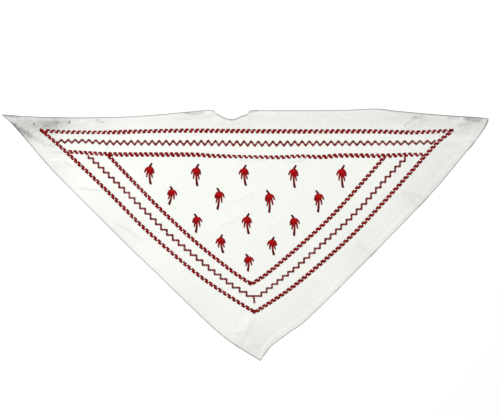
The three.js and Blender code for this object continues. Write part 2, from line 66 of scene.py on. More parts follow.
TOP_EDGE = (
    (-0.5, 0.477), (-0.415, 0.467), (-0.29, 0.466), (-0.205, 0.473), (-0.119, 0.487),
    (-0.069, 0.495), (-0.059, 0.483), (-0.04, 0.463), (-0.024, 0.458), (-0.006, 0.471),
    (0.004, 0.477), (0.012, 0.493), (0.03, 0.494), (0.08, 0.494), (0.2, 0.495), (0.27, 0.5),
    (0.313, 0.491), (0.387, 0.478), (0.473, 0.466), (0.5, 0.461),
)
RIGHT_EDGE = (
    (0.5, 0.461), (0.495, 0.43), (0.486, 0.402), (0.473, 0.37), (0.424, 0.254), (0.387, 0.171),
    (0.313, 0.021), (0.214, -0.173), (0.128, -0.336), (0.091, -0.389), (0.054, -0.443),
    (0.04, -0.476), (0.032, -0.5),
)
LEFT_EDGE = (
    (0.032, -0.5), (-0.008, -0.453), (-0.045, -0.403), (-0.082, -0.34), (-0.18, -0.157),
    (-0.242, -0.042), (-0.341, 0.148), (-0.402, 0.268), (-0.452, 0.381), (-0.479, 0.441),
    (-0.5, 0.477),
)

# Folds: from, to, half width as a share of the depth, rise as a share of a full fold.

FOLDS = (
    ((-0.49, 0.462), (-0.4, 0.452), 0.035, 0.6),
    ((-0.475, 0.44), (-0.4, 0.37), 0.035, 1),
    ((-0.385, 0.29), (-0.33, 0.27), 0.03, 0.25),
    ((-0.335, 0.19), (-0.285, 0.17), 0.03, 0.3),
    ((-0.265, 0.04), (-0.21, 0.0), 0.035, 0.3),
    ((-0.14, 0.475), (-0.075, 0.482), 0.03, 0.5),
    ((-0.055, 0.45), (0.0, 0.44), 0.028, 0.4),
    ((0.01, 0.48), (0.06, 0.475), 0.03, 0.4),
    ((0.36, 0.46), (0.325, 0.42), 0.03, 0.5),
    ((0.44, 0.44), (0.5, 0.45), 0.035, 0.8),
    ((0.41, 0.37), (0.48, 0.35), 0.03, 0.6),
    ((0.32, 0.17), (0.38, 0.12), 0.04, 0.4),
    ((0.23, -0.04), (0.28, -0.09), 0.035, 0.3),
    ((0.14, -0.17), (0.19, -0.22), 0.03, 0.3),
    ((0.01, -0.34), (-0.02, -0.44), 0.035, 0.5),
    ((0.01, -0.43), (0.04, -0.46), 0.035, 0.4),
    ((-0.06, 0.02), (-0.01, 0.08), 0.03, 0.12),
    ((-0.04, 0.12), (0.04, 0.18), 0.03, 0.12),
    ((0.04, 0.02), (0.1, 0.06), 0.03, 0.1),
)

# Creases: from, by way of, to, half width in millimetres, rise in millimetres (a furrow is less
# than nothing), and how much painted shade darkens the cloth there (below nothing, a painted
# highlight).

CREASES = (
    ((-0.474, 0.434), (-0.457, 0.411), (-0.44, 0.391), 7.5, -0.5, 0.5),
    ((-0.434, 0.385), (-0.426, 0.375), (-0.416, 0.365), 4.5, -0.3, 0.22),
    ((-0.498, 0.474), (-0.482, 0.469), (-0.464, 0.464), 3.0, -0.3, 0.55),
    ((-0.304, 0.456), (-0.297, 0.449), (-0.289, 0.445), 3.5, -0.4, 0.35),
    ((-0.351, 0.439), (-0.330, 0.449), (-0.308, 0.435), 3.0, 0.35, -0.15),
    ((-0.121, 0.482), (-0.104, 0.478), (-0.086, 0.484), 4.0, -0.4, 0.5),
    ((-0.06, 0.478), (-0.042, 0.46), (-0.026, 0.455), 2.2, 0.0, 0.4),
    ((-0.026, 0.455), (-0.008, 0.467), (0.006, 0.476), 2.2, 0.0, 0.35),
    ((0.007, 0.486), (0.015, 0.486), (0.023, 0.490), 3.5, -0.3, 0.45),
    ((0.190, 0.488), (0.200, 0.474), (0.212, 0.466), 2.5, 0.3, -0.15),
    ((0.352, 0.468), (0.340, 0.450), (0.328, 0.431), 3.0, -0.35, 0.35),
    ((0.344, 0.466), (0.356, 0.466), (0.368, 0.466), 5.0, -0.3, 0.25),
    ((0.42, 0.464), (0.429, 0.462), (0.438, 0.46), 4.5, -0.2, 0.3),
    ((0.455, 0.459), (0.47, 0.455), (0.484, 0.452), 7.0, -0.3, 0.6),
    ((0.44, 0.431), (0.45, 0.436), (0.461, 0.441), 3.2, -0.3, 0.4),
    ((0.420, 0.403), (0.447, 0.411), (0.471, 0.399), 3.0, 0.3, 0.12),
    ((0.426, 0.363), (0.449, 0.371), (0.471, 0.367), 3.0, 0.3, 0.1),
    ((0.432, 0.328), (0.455, 0.332), (0.475, 0.316), 3.0, 0.25, 0.08),
    ((0.329, 0.165), (0.348, 0.157), (0.366, 0.146), 7.0, -0.2, 0.14),
    ((0.342, 0.138), (0.350, 0.126), (0.356, 0.114), 6.0, -0.15, 0.14),
    ((0.237, -0.045), (0.249, -0.064), (0.262, -0.084), 8.0, -0.15, 0.1),
    ((0.149, -0.171), (0.163, -0.191), (0.179, -0.211), 3.0, 0.2, -0.1),
    ((0.140, -0.183), (0.155, -0.203), (0.169, -0.223), 3.0, -0.12, 0.06),
    ((-0.413, 0.353), (-0.402, 0.355), (-0.392, 0.351), 3.0, -0.3, 0.25),
    ((-0.392, 0.326), (-0.384, 0.328), (-0.374, 0.324), 3.0, -0.3, 0.25),
    ((-0.404, 0.292), (-0.392, 0.298), (-0.380, 0.296), 3.0, 0.3, -0.15),
    ((-0.369, 0.284), (-0.355, 0.272), (-0.339, 0.268), 3.0, -0.3, 0.22),
    ((-0.339, 0.185), (-0.316, 0.177), (-0.293, 0.177), 3.0, -0.3, 0.22),
    ((-0.261, 0.039), (-0.246, 0.027), (-0.232, 0.015), 3.0, -0.3, 0.2),
    ((-0.236, 0.015), (-0.224, -0.005), (-0.211, -0.021), 3.0, -0.25, 0.15),
    ((-0.215, -0.045), (-0.201, -0.052), (-0.184, -0.060), 3.0, 0.3, -0.12),
    ((0.009, -0.334), (0.005, -0.361), (0.0, -0.385), 3.0, 0.4, -0.12),
    ((0.0, -0.385), (-0.009, -0.391), (-0.017, -0.393), 3.0, -0.3, 0.15),
    ((-0.017, -0.393), (-0.018, -0.413), (-0.018, -0.433), 3.0, -0.3, 0.15),
    ((0.013, -0.445), (0.023, -0.445), (0.033, -0.441), 6.0, -0.15, 0.1),
    ((-0.053, 0.031), (-0.034, 0.050), (-0.016, 0.070), 3.5, 0.25, 0.06),
    ((-0.030, 0.126), (-0.004, 0.150), (0.025, 0.177), 3.5, 0.25, 0.06),
    ((0.046, 0.031), (0.062, 0.043), (0.079, 0.054), 3.5, 0.2, 0.05),
    ((0.103, 0.150), (0.114, 0.159), (0.124, 0.157), 3.0, 0.2, 0.05),
    ((0.003, -0.056), (0.007, -0.041), (0.013, -0.025), 3.0, 0.2, 0.05),
    ((-0.160, 0.126), (-0.147, 0.114), (-0.139, 0.098), 2.5, -0.2, 0.2),
    ((-0.010, 0.294), (0.015, 0.292), (0.042, 0.296), 6.0, -0.1, 0.14),
    ((0.087, 0.292), (0.105, 0.292), (0.124, 0.294), 6.0, -0.1, 0.14),
)

# Painted shade towards the tips and edges, with a grey patch near the left tip (the first two):
# where, half width and half height in millimetres, how much darker.

SHADE_AND_GREY_PATCHES = (
    ((-0.39, 0.447), 27, 9, 0.55),
    ((-0.4, 0.42), 24, 9, 0.36),
    ((-0.46, 0.43), 42, 28, 0.72),
    ((-0.33, 0.44), 60, 22, 0.28),
    ((-0.12, 0.45), 90, 18, 0.16),
    ((0.08, 0.45), 110, 18, 0.17),
    ((0.26, 0.46), 90, 18, 0.17),
    ((0.37, 0.46), 60, 20, 0.24),
    ((0.475, 0.44), 34, 22, 0.26),
    ((0.42, 0.3), 40, 60, 0.2),
    ((0.36, 0.12), 44, 60, 0.2),
    ((0.25, -0.1), 44, 60, 0.15),
    ((0.12, -0.3), 50, 50, 0.1),
    ((0.02, -0.44), 46, 38, 0.22),
    ((-0.12, -0.3), 50, 50, 0.12),
    ((-0.28, -0.0), 40, 50, 0.12),
    ((-0.4, 0.28), 34, 40, 0.22),
)

# Small marks: along, up, half length and half width in millimetres, turn in degrees, how much
# darker.

MARKS = (
    (-0.433, 0.4385, 2.2, 0.9, 100, 0.8),
    (-0.3605, 0.4465, 2.6, 1.1, 60, 0.9),
    (-0.385, 0.444, 3.0, 1.2, 20, 0.35),
    (-0.405, 0.432, 4.0, 1.2, 150, 0.25),
    (-0.28, 0.362, 9.0, 0.8, 73, 0.42),
)

# How strongly painted shade greys the fold of each hem: top, right, left.

RIM_SHADE = (1.5, 0.85, 1.4)

# Middle lines of the bands, as (along, up). The side bands run from the long edge down.

OUTER_TOP = (
    (-0.42, 0.416), (-0.378, 0.409), (-0.293, 0.407), (-0.208, 0.411), (-0.123, 0.414),
    (0.004, 0.412), (0.131, 0.411), (0.258, 0.411), (0.343, 0.407), (0.386, 0.41), (0.428, 0.414),
)
OUTER_LEFT = (
    (-0.42, 0.416), (-0.388, 0.365), (-0.327, 0.256), (-0.268, 0.145), (-0.21, 0.032),
    (-0.148, -0.075), (-0.084, -0.176), (-0.015, -0.265), (0.02, -0.306),
)
OUTER_RIGHT = (
    (0.428, 0.414), (0.394, 0.364), (0.337, 0.242), (0.279, 0.119), (0.22, 0),
    (0.157, -0.11), (0.091, -0.215), (0.02, -0.306),
)
INNER_TOP = (
    (-0.362, 0.33), (-0.275, 0.32), (-0.189, 0.319), (-0.102, 0.318), (-0.059, 0.313),
    (0.028, 0.309), (0.071, 0.308), (0.114, 0.312), (0.157, 0.309), (0.201, 0.315),
    (0.287, 0.314), (0.331, 0.318), (0.374, 0.318),
)
INNER_LEFT = (
    (-0.281, 0.316), (-0.22, 0.193), (-0.158, 0.073), (-0.093, -0.041), (-0.024, -0.147),
    (0.013, -0.194),
)
INNER_RIGHT = (
    (0.287, 0.311), (0.231, 0.187), (0.174, 0.068), (0.112, -0.043), (0.048, -0.148),
    (0.013, -0.194),
)

# One motif of each kind of band, in millimetres from its place on the line: start along and
# across, end along and across, and the number of strands side by side.

OUTER_TOP_MOTIF = (
    (-3.0, -2.4, 2.0, -2.4, 3),
    (-0.1, -2.0, 1.1, 0.8, 4),
    (-0.3, 1.25, 4.9, 1.25, 3),
    (4.7, 0.9, 5.6, -2.0, 1),
)
INNER_TOP_MOTIF = (
    (-3.0, 1.35, 2.3, 1.35, 3),
    (0.5, 1.1, 1.8, -1.9, 4),
    (0.5, -2.15, 5.0, -2.15, 3),
    (4.7, -1.8, 5.4, 1.0, 1),
)
OUTER_LEFT_MOTIF = (
    (-5.1, 1.35, 1.2, 1.35, 3),
    (-1.0, 1.0, 0.1, -1.0, 4),
    (-2.6, -1.3, 3.7, -1.3, 3),
    (3.1, -1.0, 3.6, 1.0, 1),
)
INNER_LEFT_MOTIF = (
    (-4.9, 1.2, 1.7, 1.2, 3),
    (-0.5, 0.9, 0.6, -1.2, 4),
    (-1.9, -1.5, 4.6, -1.5, 3),
    (4.0, -1.2, 4.1, 0.9, 1),
)
RIGHT_MOTIF = (
    (-4.2, 2.25, 1.6, 2.25, 3),
    (-0.2, 1.9, 1.1, -0.4, 4),
    (-0.9, -0.7, 4.8, -0.7, 3),
    (4.1, -0.3, 4.1, 1.9, 1),
)

# The bands: node, line, motif, and how many motifs are sewn up to a share of the line, with
# their share of full size there.

BANDS = (
    ("outer_band_top", OUTER_TOP, OUTER_TOP_MOTIF, (
        (0, 0.0155, 0.85), (10, 0.1415, 0.8), (14, 0.1905, 1),
        (20, 0.264, 0.9), (30, 0.39, 1),
        (40, 0.514, 1), (50, 0.64, 1), (60, 0.77, 1), (70, 0.9, 0.95), (77, 0.991, 0.85),
    )),
    ("outer_band_left", OUTER_LEFT, OUTER_LEFT_MOTIF, (
        (0, 0.0085, 0.85), (10, 0.1855, 1), (20, 0.3695, 1), (30, 0.563, 1), (40, 0.76, 1),
        (51, 0.973, 1), (52, 0.991, 0.9),
    )),
    ("outer_band_right", OUTER_RIGHT, RIGHT_MOTIF, (
        (0, 0.022, 0.9), (10, 0.209, 1), (20, 0.398, 1), (30, 0.59, 1), (40, 0.775, 1),
        (52, 0.989, 1),
    )),
    ("inner_band_top", INNER_TOP, INNER_TOP_MOTIF, (
        (0, 0.005, 0.85), (10, 0.144, 1.05), (20, 0.2875, 1.12), (30, 0.4326, 0.93),
        (34, 0.4918, 0.78), (40, 0.5805, 0.93), (44, 0.6397, 0.84), (50, 0.7284, 1.08),
        (60, 0.8778, 1.05), (67, 0.9838, 0.9),
    )),
    ("inner_band_left", INNER_LEFT, INNER_LEFT_MOTIF, (
        (0, 0.012, 1), (10, 0.281, 1), (20, 0.563, 1), (30, 0.847, 1), (35, 0.99, 1),
    )),
    ("inner_band_right", INNER_RIGHT, RIGHT_MOTIF, (
        (0, 0.02, 1), (10, 0.306, 1), (20, 0.5845, 1), (30, 0.855, 1), (35, 0.9876, 1),
    )),
)

# Knots where a band starts or ends: node, share of the line, from and to in millimetres from
# there, strands side by side.

KNOTS = (
    ("outer_band_top", 0, -1.2, 1.6, 2),
    ("outer_band_top", 1, -5.0, 0.8, 4),
    ("outer_band_left", 0, 0.5, 8.5, 4),
    ("outer_band_left", 1, -3.0, 2.2, 5),
    ("inner_band_left", 1, -3.0, 1.5, 4),
)

# The zigzags, as (waves or stairs sewn, along, up) and, for the waves, their share of full height.

WAVES = (
    (0, -0.384, 0.37, 0.76), (4, -0.327, 0.371, 0.78), (7, -0.284, 0.365, 0.94),
    (21.5, -0.075, 0.364, 1.16), (28.5, 0.028, 0.361, 1.16), (40, 0.2, 0.363, 1.02),
    (48, 0.321, 0.364, 0.88), (52.5, 0.391, 0.367, 0.78),
)
LEFT_STAIRS = (
    (0, -0.321, 0.314), (1, -0.311, 0.303), (3, -0.29, 0.266), (8, -0.237, 0.167),
    (14, -0.172, 0.041), (17, -0.136, -0.022), (23, -0.062, -0.14), (26, -0.025, -0.193),
    (29, 0.018, -0.243),
)
RIGHT_STAIRS = (
    (0, 0.329, 0.311), (4, 0.289, 0.23), (9, 0.24, 0.122), (12, 0.209, 0.06),
    (22, 0.1, -0.13), (28, 0.034, -0.228), (29, 0.018, -0.243),
)

# One palm, in shares of its width and height: half width and half height of its crown, and for
# each stroke its start, bend and tip, its width at start and tip, and how bright it is there.

PALM_CROWN = (0.31, 0.13)
PALM_STROKES = (
    ((-0.02, 0.09), (0.11, 0.21), (0.29, 0.31), 0.2, 0.12, 0.5, 0.0),
    ((-0.1, 0.08), (-0.38, 0.06), (-0.5, -0.14), 0.26, 0.06, 0.9, 0.45),
    ((-0.09, 0.0), (-0.25, -0.15), (-0.29, -0.38), 0.21, 0.06, 0.9, 0.4),
    ((0.09, 0.0), (0.21, -0.17), (0.32, -0.4), 0.21, 0.06, 0.9, 0.4),
    ((0.1, 0.08), (0.37, 0.06), (0.42, -0.18), 0.3, 0.12, 0.9, 0.45),
    ((0.01, 0.0), (0.0, -0.42), (0.14, -0.71), 0.11, 0.19, 0.95, 0.1),
)

# The fifteen palms: along, up, lean (1 to the right, -1 to the left), share of full height,
# tilt in degrees.

PALMS = (
    (-0.196, 0.258, 1, 0.95, 0), (-0.1, 0.253, 1, 0.99, 0), (-0.002, 0.251, 1, 0.92, 3),
    (0.1, 0.248, 1, 1, 0), (0.199, 0.248, 1, 1.02, 0), (-0.149, 0.168, -1, 0.83, 9),
    (-0.052, 0.159, -1, 0.96, 3), (0.051, 0.15, -1, 1.02, -3), (0.152, 0.15, -1, 0.98, -2),
    (-0.098, 0.06, -1, 0.84, 0), (0.004, 0.059, 1, 0.92, 3), (0.102, 0.054, -1, 0.95, -3),
    (-0.05, -0.023, 1, 0.83, 7), (0.056, -0.031, 1, 0.82, 3), (0.008, -0.097, -1, 0.77, -2),
)

MM = 0.001

# How finely the cloth is divided: rings from its edge to its middle, the first ones given in
# millimetres from the edge, and steps along a hem.

RINGS = 96
RIM_RINGS = (0.0, 0.2, 0.5, 0.9, 1.5, 3.0, 4.6, 6.2, 7.0, 7.8, 8.6, 9.6, 11.0)
HEM_STEPS = 300

# The small unevenness all over: how many waves, how long they are in metres, how far they bend
# and how fast the bending changes along X and Y.

CRUMPLE_WAVES = 28
CRUMPLE_LENGTHS = (0.014, 0.075)
CRUMPLE_BEND = 0.012
CRUMPLE_BENDING = (-31.0, 47.0)
CRUMPLE_SEED = 11
STITCH_SEED = 7

# Finishes: how far painted shade with the grey patch, the uneven cotton, and painted shade at a
# strand's tip and between its plies go from the clean or bright colour to the darkened or deep
# one, how blotched the painted shade is, and how much higher the small wrinkles stand than the
# weave.

SHADE_AND_PATCH_DEPTH = 0.58
UNEVEN_DEPTH = 0.12
TIP_SHADE_DEPTH = 0.55
GROOVE_SHADE_DEPTH = 0.12
BLOTCH_LEAST = 0.6
BLOTCH_SPREAD = 0.8
WRINKLE_SHARE = 8.0

# The settings that a user would change

COLOUR = {"size": 3, "min": 0, "max": 1, "subtype": "COLOR"}


class NeckerchiefCloth(PropertyGroup):
    long_edge: FloatProperty(
        name="Long edge", description="Tip to tip", default=CLOTH_SIZE.x, min=0.3, unit="LENGTH"
    )
    depth: FloatProperty(
        name="Depth", description="Long edge to lower point", default=0.394, min=0.15,
        unit="LENGTH",
    )
    wall: FloatProperty(
        name="Cloth", description="Thickness of the cotton", default=0.0006, min=0.0002,
        unit="LENGTH",
    )
    hem_wall: FloatProperty(
        name="Hem", description="Thickness of the layer turned under", default=0.0003,
        min=0.0002, unit="LENGTH",
    )
    hem_width: FloatProperty(
        name="Hem width", description="Width of the hem", default=0.006, min=0.002,
        unit="LENGTH",
    )
    fold_rise: FloatProperty(
        name="Fold height", description="Height of a full fold", default=0.002, min=0.0,
        unit="LENGTH",
    )
    crumple: FloatProperty(
        name="Crumple", description="Height of the small unevenness all over", default=0.00012,
        min=0.0, unit="LENGTH",
    )
    cotton: FloatVectorProperty(
        name="Cotton", description="Colour of clean cotton", default=(0.80, 0.81, 0.77), **COLOUR
    )
    # The dark colour: for the uneven cotton and marks, and for painted shade in creases, along the
    # edges and towards the tips.
    darkened_cotton: FloatVectorProperty(
        name="Darkened cotton", description="Colour of soiled cotton", default=(0.12, 0.12, 0.115),
        **COLOUR
    )


class NeckerchiefThread(PropertyGroup):
    strand_width: FloatProperty(
        name="Strand width", description="Width of one strand in a band", default=0.00128,
        min=0.0002, unit="LENGTH",
    )
    strand_rise: FloatProperty(
        name="Strand rise", description="Height of one strand over the cloth", default=0.00055,
        min=0.0001, unit="LENGTH",
    )
    zigzag_width: FloatProperty(
        name="Zigzag strand", description="Width of one strand in a zigzag", default=0.0012,
        min=0.0002, unit="LENGTH",
    )
    zigzag_height: FloatProperty(
        name="Zigzag height", description="Trough to peak along the long edge", default=0.0066,
        min=0.001, unit="LENGTH",
    )
    zigzag_tail: FloatProperty(
        name="Zigzag tail", description="Straight run below the lower corner", default=0.0106,
        min=0.0, unit="LENGTH",
    )
    stitches_per_leg: IntProperty(
        name="Stitches", description="Stitches in one leg of a zigzag", default=3, min=1,
    )
    hem_stitch: FloatProperty(
        name="Hem stitch", description="Length of one stitch of the hem seam", default=0.0026,
        min=0.001, unit="LENGTH",
    )
    bright: FloatVectorProperty(
        name="Bright thread", description="Colour of the red thread in full light",
        default=(0.43, 0.001, 0.005), **COLOUR
    )
    # Dark end of the thread colour, also used for painted shade between plies and at the strand
    # ends.
    deep: FloatVectorProperty(
        name="Deep thread", description="Colour of the red thread between strands",
        default=(0.10, 0.0, 0.001), **COLOUR
    )
    zigzag_bright: FloatVectorProperty(
        name="Bright zigzag", description="Colour of the zigzag thread in full light",
        default=(0.47, 0.001, 0.004), **COLOUR
    )
    # Dark end of the zigzag colour, also used for painted shade at the needle holes and between
    # plies.
    zigzag_deep: FloatVectorProperty(
        name="Deep zigzag", description="Colour of the zigzag thread at its needle holes",
        default=(0.07, 0.0, 0.0), **COLOUR
    )


class NeckerchiefPalm(PropertyGroup):
    height: FloatProperty(
        name="Height", description="Height of a full palm", default=0.034, min=0.01,
        unit="LENGTH",
    )
    width: FloatProperty(
        name="Width", description="Width of every palm", default=0.015, min=0.005,
        unit="LENGTH",
    )
    pitch: FloatProperty(
        name="Strand pitch", description="From one strand of the satin stitch to the next",
        default=0.0005, min=0.0002, unit="LENGTH",
    )
    pad: FloatProperty(
        name="Padding", description="Extra height in the middle of the crown", default=0.0005,
        min=0.0, unit="LENGTH",
    )
    bright: FloatVectorProperty(
        name="Bright satin", description="Colour of the satin stitch in full light",
        default=(0.50, 0.001, 0.003), **COLOUR
    )
    # Dark end of the satin colour, also used for painted shade at the strand ends and on the sides
    # of the crown.
    deep: FloatVectorProperty(
        name="Deep satin", description="Colour of the satin stitch at its thin ends",
        default=(0.055, 0.001, 0.001), **COLOUR
    )


class NeckerchiefStage(PropertyGroup):
    view_width: FloatProperty(
        name="View width", description="Width of the floor that the camera sees", default=0.781,
        min=0.1, unit="LENGTH",
    )
    view_x: FloatProperty(
        name="View across", description="Place under the camera", default=0.0082, unit="LENGTH"
    )
    view_y: FloatProperty(
        name="View along", description="Place under the camera", default=0.041, unit="LENGTH"
    )
    key_power: FloatProperty(
        name="Key light", description="Power of the large soft light", default=152.0, min=0.0,
        unit="POWER",
    )
    fill: FloatProperty(
        name="Fill light", description="Strength of the light from all round", default=0.5,
        min=0.0,
    )
    floor: FloatVectorProperty(
        name="Floor", description="Colour of the floor", default=(0.95, 0.95, 0.95), **COLOUR
    )


# Lines and places


def spot(along, up):
    """The place at a share of the long edge and of the depth."""
    sizes = bpy.context.scene.neckerchief_cloth
    return np.array((along * sizes.long_edge, up * sizes.depth))


class Line:
    """A run of close points, read by distance along it."""

    PROBES = 400

    def __init__(self, points):
        self.points = points
        runs = np.hypot(*np.diff(points, axis=0).T)
        self.reach = np.concatenate(((0,), np.cumsum(runs)))
        self.length = self.reach[-1]

    def at(self, distance):
        return np.stack([np.interp(distance, self.reach, c) for c in self.points.T], axis=-1)

    def beside(self, distance, across):
        """Places at distances along the line, moved to its left by across."""
        nearest = np.clip(distance, 0, self.length)
        step = self.length / self.PROBES
        ahead = self.at(nearest + step) - self.at(nearest - step)
        ahead /= np.linalg.norm(ahead, axis=-1, keepdims=True)
        past = distance - nearest
        left = np.stack((-ahead[..., 1], ahead[..., 0]), axis=-1)
        return self.at(nearest) + ahead * past[..., None] + left * np.asarray(across)[..., None]


def smooth_line(shares, steps=60):
    """A smooth curve through places that are given as shares, with steps from one to the next."""
    knots = np.array([spot(*share) for share in shares])
    before = np.vstack((knots[:1], knots[:-2]))
    after = np.vstack((knots[2:], knots[-1:]))
    t = np.linspace(0, 1, steps, endpoint=False)[:, None]
    dense = []
    for p0, p1, p2, p3 in zip(before, knots[:-1], knots[1:], after):
        start, end = (p2 - p0) / 2, (p3 - p1) / 2
        cubic = 2 * (p1 - p2) + start + end
        square = 3 * (p2 - p1) - 2 * start - end
        dense.append(((cubic * t + square) * t + start) * t + p1)
    return Line(np.vstack(dense + [knots[-1:]]))


def outline_edges():
    return [smooth_line(shares) for shares in (TOP_EDGE, RIGHT_EDGE, LEFT_EDGE)]


def inner_circle():
    """Middle and radius of the circle that touches the triangle's three sides."""
    corners = np.array([spot(*edge[0]) for edge in (TOP_EDGE, RIGHT_EDGE, LEFT_EDGE)])
    opposite = np.array(
        [np.linalg.norm(corners[(i + 1) % 3] - corners[(i + 2) % 3]) for i in range(3)]
    )
    middle = (corners * opposite[:, None]).sum(0) / opposite.sum()
    (ax, ay), (bx, by) = corners[1] - corners[0], corners[2] - corners[0]
    return middle, abs(ax * by - ay * bx) / opposite.sum()


def nearness(places, start, end, half):
    """1 on the line from start to end, falling softly to 0 at half away from it."""
    run = end - start
    along = np.clip((places - start) @ run / (run @ run), 0, 1)
    away = np.linalg.norm(places - start - along[:, None] * run, axis=1) / half
    return np.cos(np.minimum(away, 1) * math.pi / 2) ** 2


def crease_nearness(places, start, via, end, half):
    """1 on a crease, falling softly to 0 at its half width in millimetres."""
    return np.maximum(
        nearness(places, spot(*start), spot(*via), half * MM),
        nearness(places, spot(*via), spot(*end), half * MM),
    )


def fold_lift(places):
    """Height of the cloth's underside over the floor, from its folds."""
    sizes = bpy.context.scene.neckerchief_cloth
    lift = np.zeros(len(places))
    for start, end, half, rise in FOLDS:
        near = nearness(places, spot(*start), spot(*end), half * sizes.depth)
        lift = np.maximum(lift, rise * sizes.fold_rise * near)
    return lift


def crease_lift(places):
    """Height that the creases add to the cloth's upper side."""
    lift = np.zeros(len(places))
    for *route, rise, _ in CREASES:
        lift += rise * MM * crease_nearness(places, *route)
    return lift


def crumple_lift(places):
    """Height of the small unevenness, from waves of many lengths and directions."""
    sizes = bpy.context.scene.neckerchief_cloth
    shortest, longest = CRUMPLE_LENGTHS
    rng = np.random.default_rng(CRUMPLE_SEED)
    lift = np.zeros(len(places))
    for _ in range(CRUMPLE_WAVES):
        angle = rng.uniform(0, math.pi)
        length = rng.uniform(shortest, longest)
        phase = rng.uniform(0, 2 * math.pi)
        across = places @ np.array((math.cos(angle), math.sin(angle)))
        bent = across + CRUMPLE_BEND * np.sin(places @ np.array(CRUMPLE_BENDING) + phase)
        lift += np.sin(bent * 2 * math.pi / length + phase) * length / longest
    return lift * sizes.crumple / math.sqrt(CRUMPLE_WAVES)


def shade_and_grey_patch(places):
    """How much painted shade (with the grey patch) darkens the cloth, 0 for clean, 1 for full."""
    tone = np.zeros(len(places))
    for *route, _, darker in CREASES:
        tone += darker * crease_nearness(places, *route)
    for middle, across, up, darker in SHADE_AND_GREY_PATCHES:
        away = (places - spot(*middle)) / (np.array((across, up)) * MM)
        tone += darker * np.exp(-(away ** 2).sum(1))
    return tone


def upper_side(places):
    """Height of the cloth's upper side where the embroidery lies, clear of the hems."""
    sizes = bpy.context.scene.neckerchief_cloth
    return fold_lift(places) + sizes.wall + crease_lift(places) + crumple_lift(places)


# Meshes


def add_mesh(name, points, faces, smooth=True):
    mesh = bpy.data.meshes.new(name)
    mesh.from_pydata(points.tolist(), [], faces)
    mesh.validate()
    mesh.update()
    if smooth:
        mesh.polygons.foreach_set("use_smooth", np.ones(len(mesh.polygons), bool))
    piece = bpy.data.objects.new(name, mesh)
    bpy.context.scene.collection.objects.link(piece)
    return piece


def add_values(piece, name, values):
    """One number for each point of the mesh, read by the materials."""
    attribute = piece.data.attributes.new(name, "FLOAT", "POINT")
    attribute.data.foreach_set("value", np.asarray(values, np.float32))


def finish_piece(piece, material, slot, *nodes):
    """Give a piece its material and its place in the frame, for the nodes that it stands for."""
    piece.data.materials.append(material)
    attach(piece, "root")
    if nodes:
        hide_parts(*nodes)


class Strands:
    """Strands of thread, each from one place on the cloth to another."""

    # Rings along a strand, how wide it is at each, and its section as shares of width and rise

    ALONG = np.array((0.0, 0.16, 0.5, 0.84, 1.0))
    EVEN = np.array((0.75, 1.0, 1.0, 1.0, 0.75))
    PULLED_IN = np.array((1.3, 0.95, 0.7, 0.95, 1.3))
    SECTION = np.array(((-0.5, 0.0), (-0.3, 0.78), (0.3, 0.78), (0.5, 0.0), (0.0, -0.3)))

    # In a bundle: from one strand to the next in widths, how far the ends stray in millimetres,
    # the usual tone, and how far the tones stray

    SPACING = 0.88
    STRAY = 0.06
    TONE = 0.5
    TONE_SPREAD = 0.22

    def __init__(self, swell=EVEN):
        self.rows = []
        self.swell = swell

    def add(self, start, end, width, rise, tone, pad=0.0):
        self.rows.append((*start, *end, width, rise, tone, pad))

    def add_bundle(self, ends, count, width, rise, rng, tone=TONE):
        """Strands side by side, all from one end to the other."""
        start, end = ends
        run = end - start
        aside = np.array((-run[1], run[0])) / np.linalg.norm(run)
        for i in range(count):
            shift = aside * width * self.SPACING * (i - (count - 1) / 2)
            shift = shift + rng.normal(0, self.STRAY, 2) * MM
            shade = tone + rng.uniform(-self.TONE_SPREAD, self.TONE_SPREAD)
            self.add(start + shift, end + shift, width, rise, shade)

    def build(self, name):
        rows = np.array(self.rows)
        start, end = rows[:, 0:2], rows[:, 2:4]
        width, rise, tone, pad = rows[:, 4:8].T
        run = end - start
        length = np.linalg.norm(run, axis=1)
        aside = np.stack((-run[:, 1], run[:, 0]), axis=1) / length[:, None]
        shape = len(rows), len(self.ALONG), len(self.SECTION)
        _, rings, sides = shape
        middle = start[:, None] + run[:, None] * self.ALONG[:, None]
        ground = upper_side(middle.reshape(-1, 2)).reshape(len(rows), rings)
        ground = ground + pad[:, None] * self.EVEN
        swell = self.swell[:, None]
        across = width[:, None, None] * swell * self.SECTION[:, 0]
        above = rise[:, None, None] * swell * self.SECTION[:, 1]
        points = np.empty((*shape, 3))
        points[..., :2] = middle[:, :, None] + aside[:, None, None] * across[..., None]
        points[..., 2] = ground[..., None] + above
        piece = add_mesh(name, points.reshape(-1, 3), self.faces(*shape))
        # tip: where painted shade darkens each strand towards its ends, at the needle holes.
        values = {
            "tone": tone[:, None, None],
            "tip": (np.abs(self.ALONG * 2 - 1) ** 3)[:, None],
            "travelled": length[:, None, None] * self.ALONG[:, None],
            "turned": np.arange(sides) / sides,
        }
        for label, value in values.items():
            add_values(piece, label, np.broadcast_to(value, shape).ravel())
        return piece

    @staticmethod
    def faces(count, rings, sides):
        """Round each strand from ring to ring, and a cap at both of its ends."""
        quads, last = [], (rings - 1) * sides
        for first in range(0, last, sides):
            for side in range(sides):
                a, b = first + side, first + (side + 1) % sides
                quads.append((a, b, b + sides, a + sides))
        caps = [tuple(range(sides - 1, -1, -1)), tuple(range(last, last + sides))]
        firsts = np.arange(count)[:, None, None] * rings * sides
        quads = (np.array(quads) + firsts).reshape(-1, 4)
        caps = (np.array(caps) + firsts).reshape(-1, sides)
        return quads.tolist() + caps.tolist()


# Shared effects


def feed(tree, socket, value):
    """Link a socket to another one, or set it to a number."""
    if hasattr(value, "is_linked"):
        tree.links.new(value, socket)
    else:
        socket.default_value = value


def maths(tree, operation, *values):
    node = tree.nodes.new("ShaderNodeMath")
    node.operation = operation
    for socket, value in zip(node.inputs, values):
        feed(tree, socket, value)
    return node.outputs["Value"]


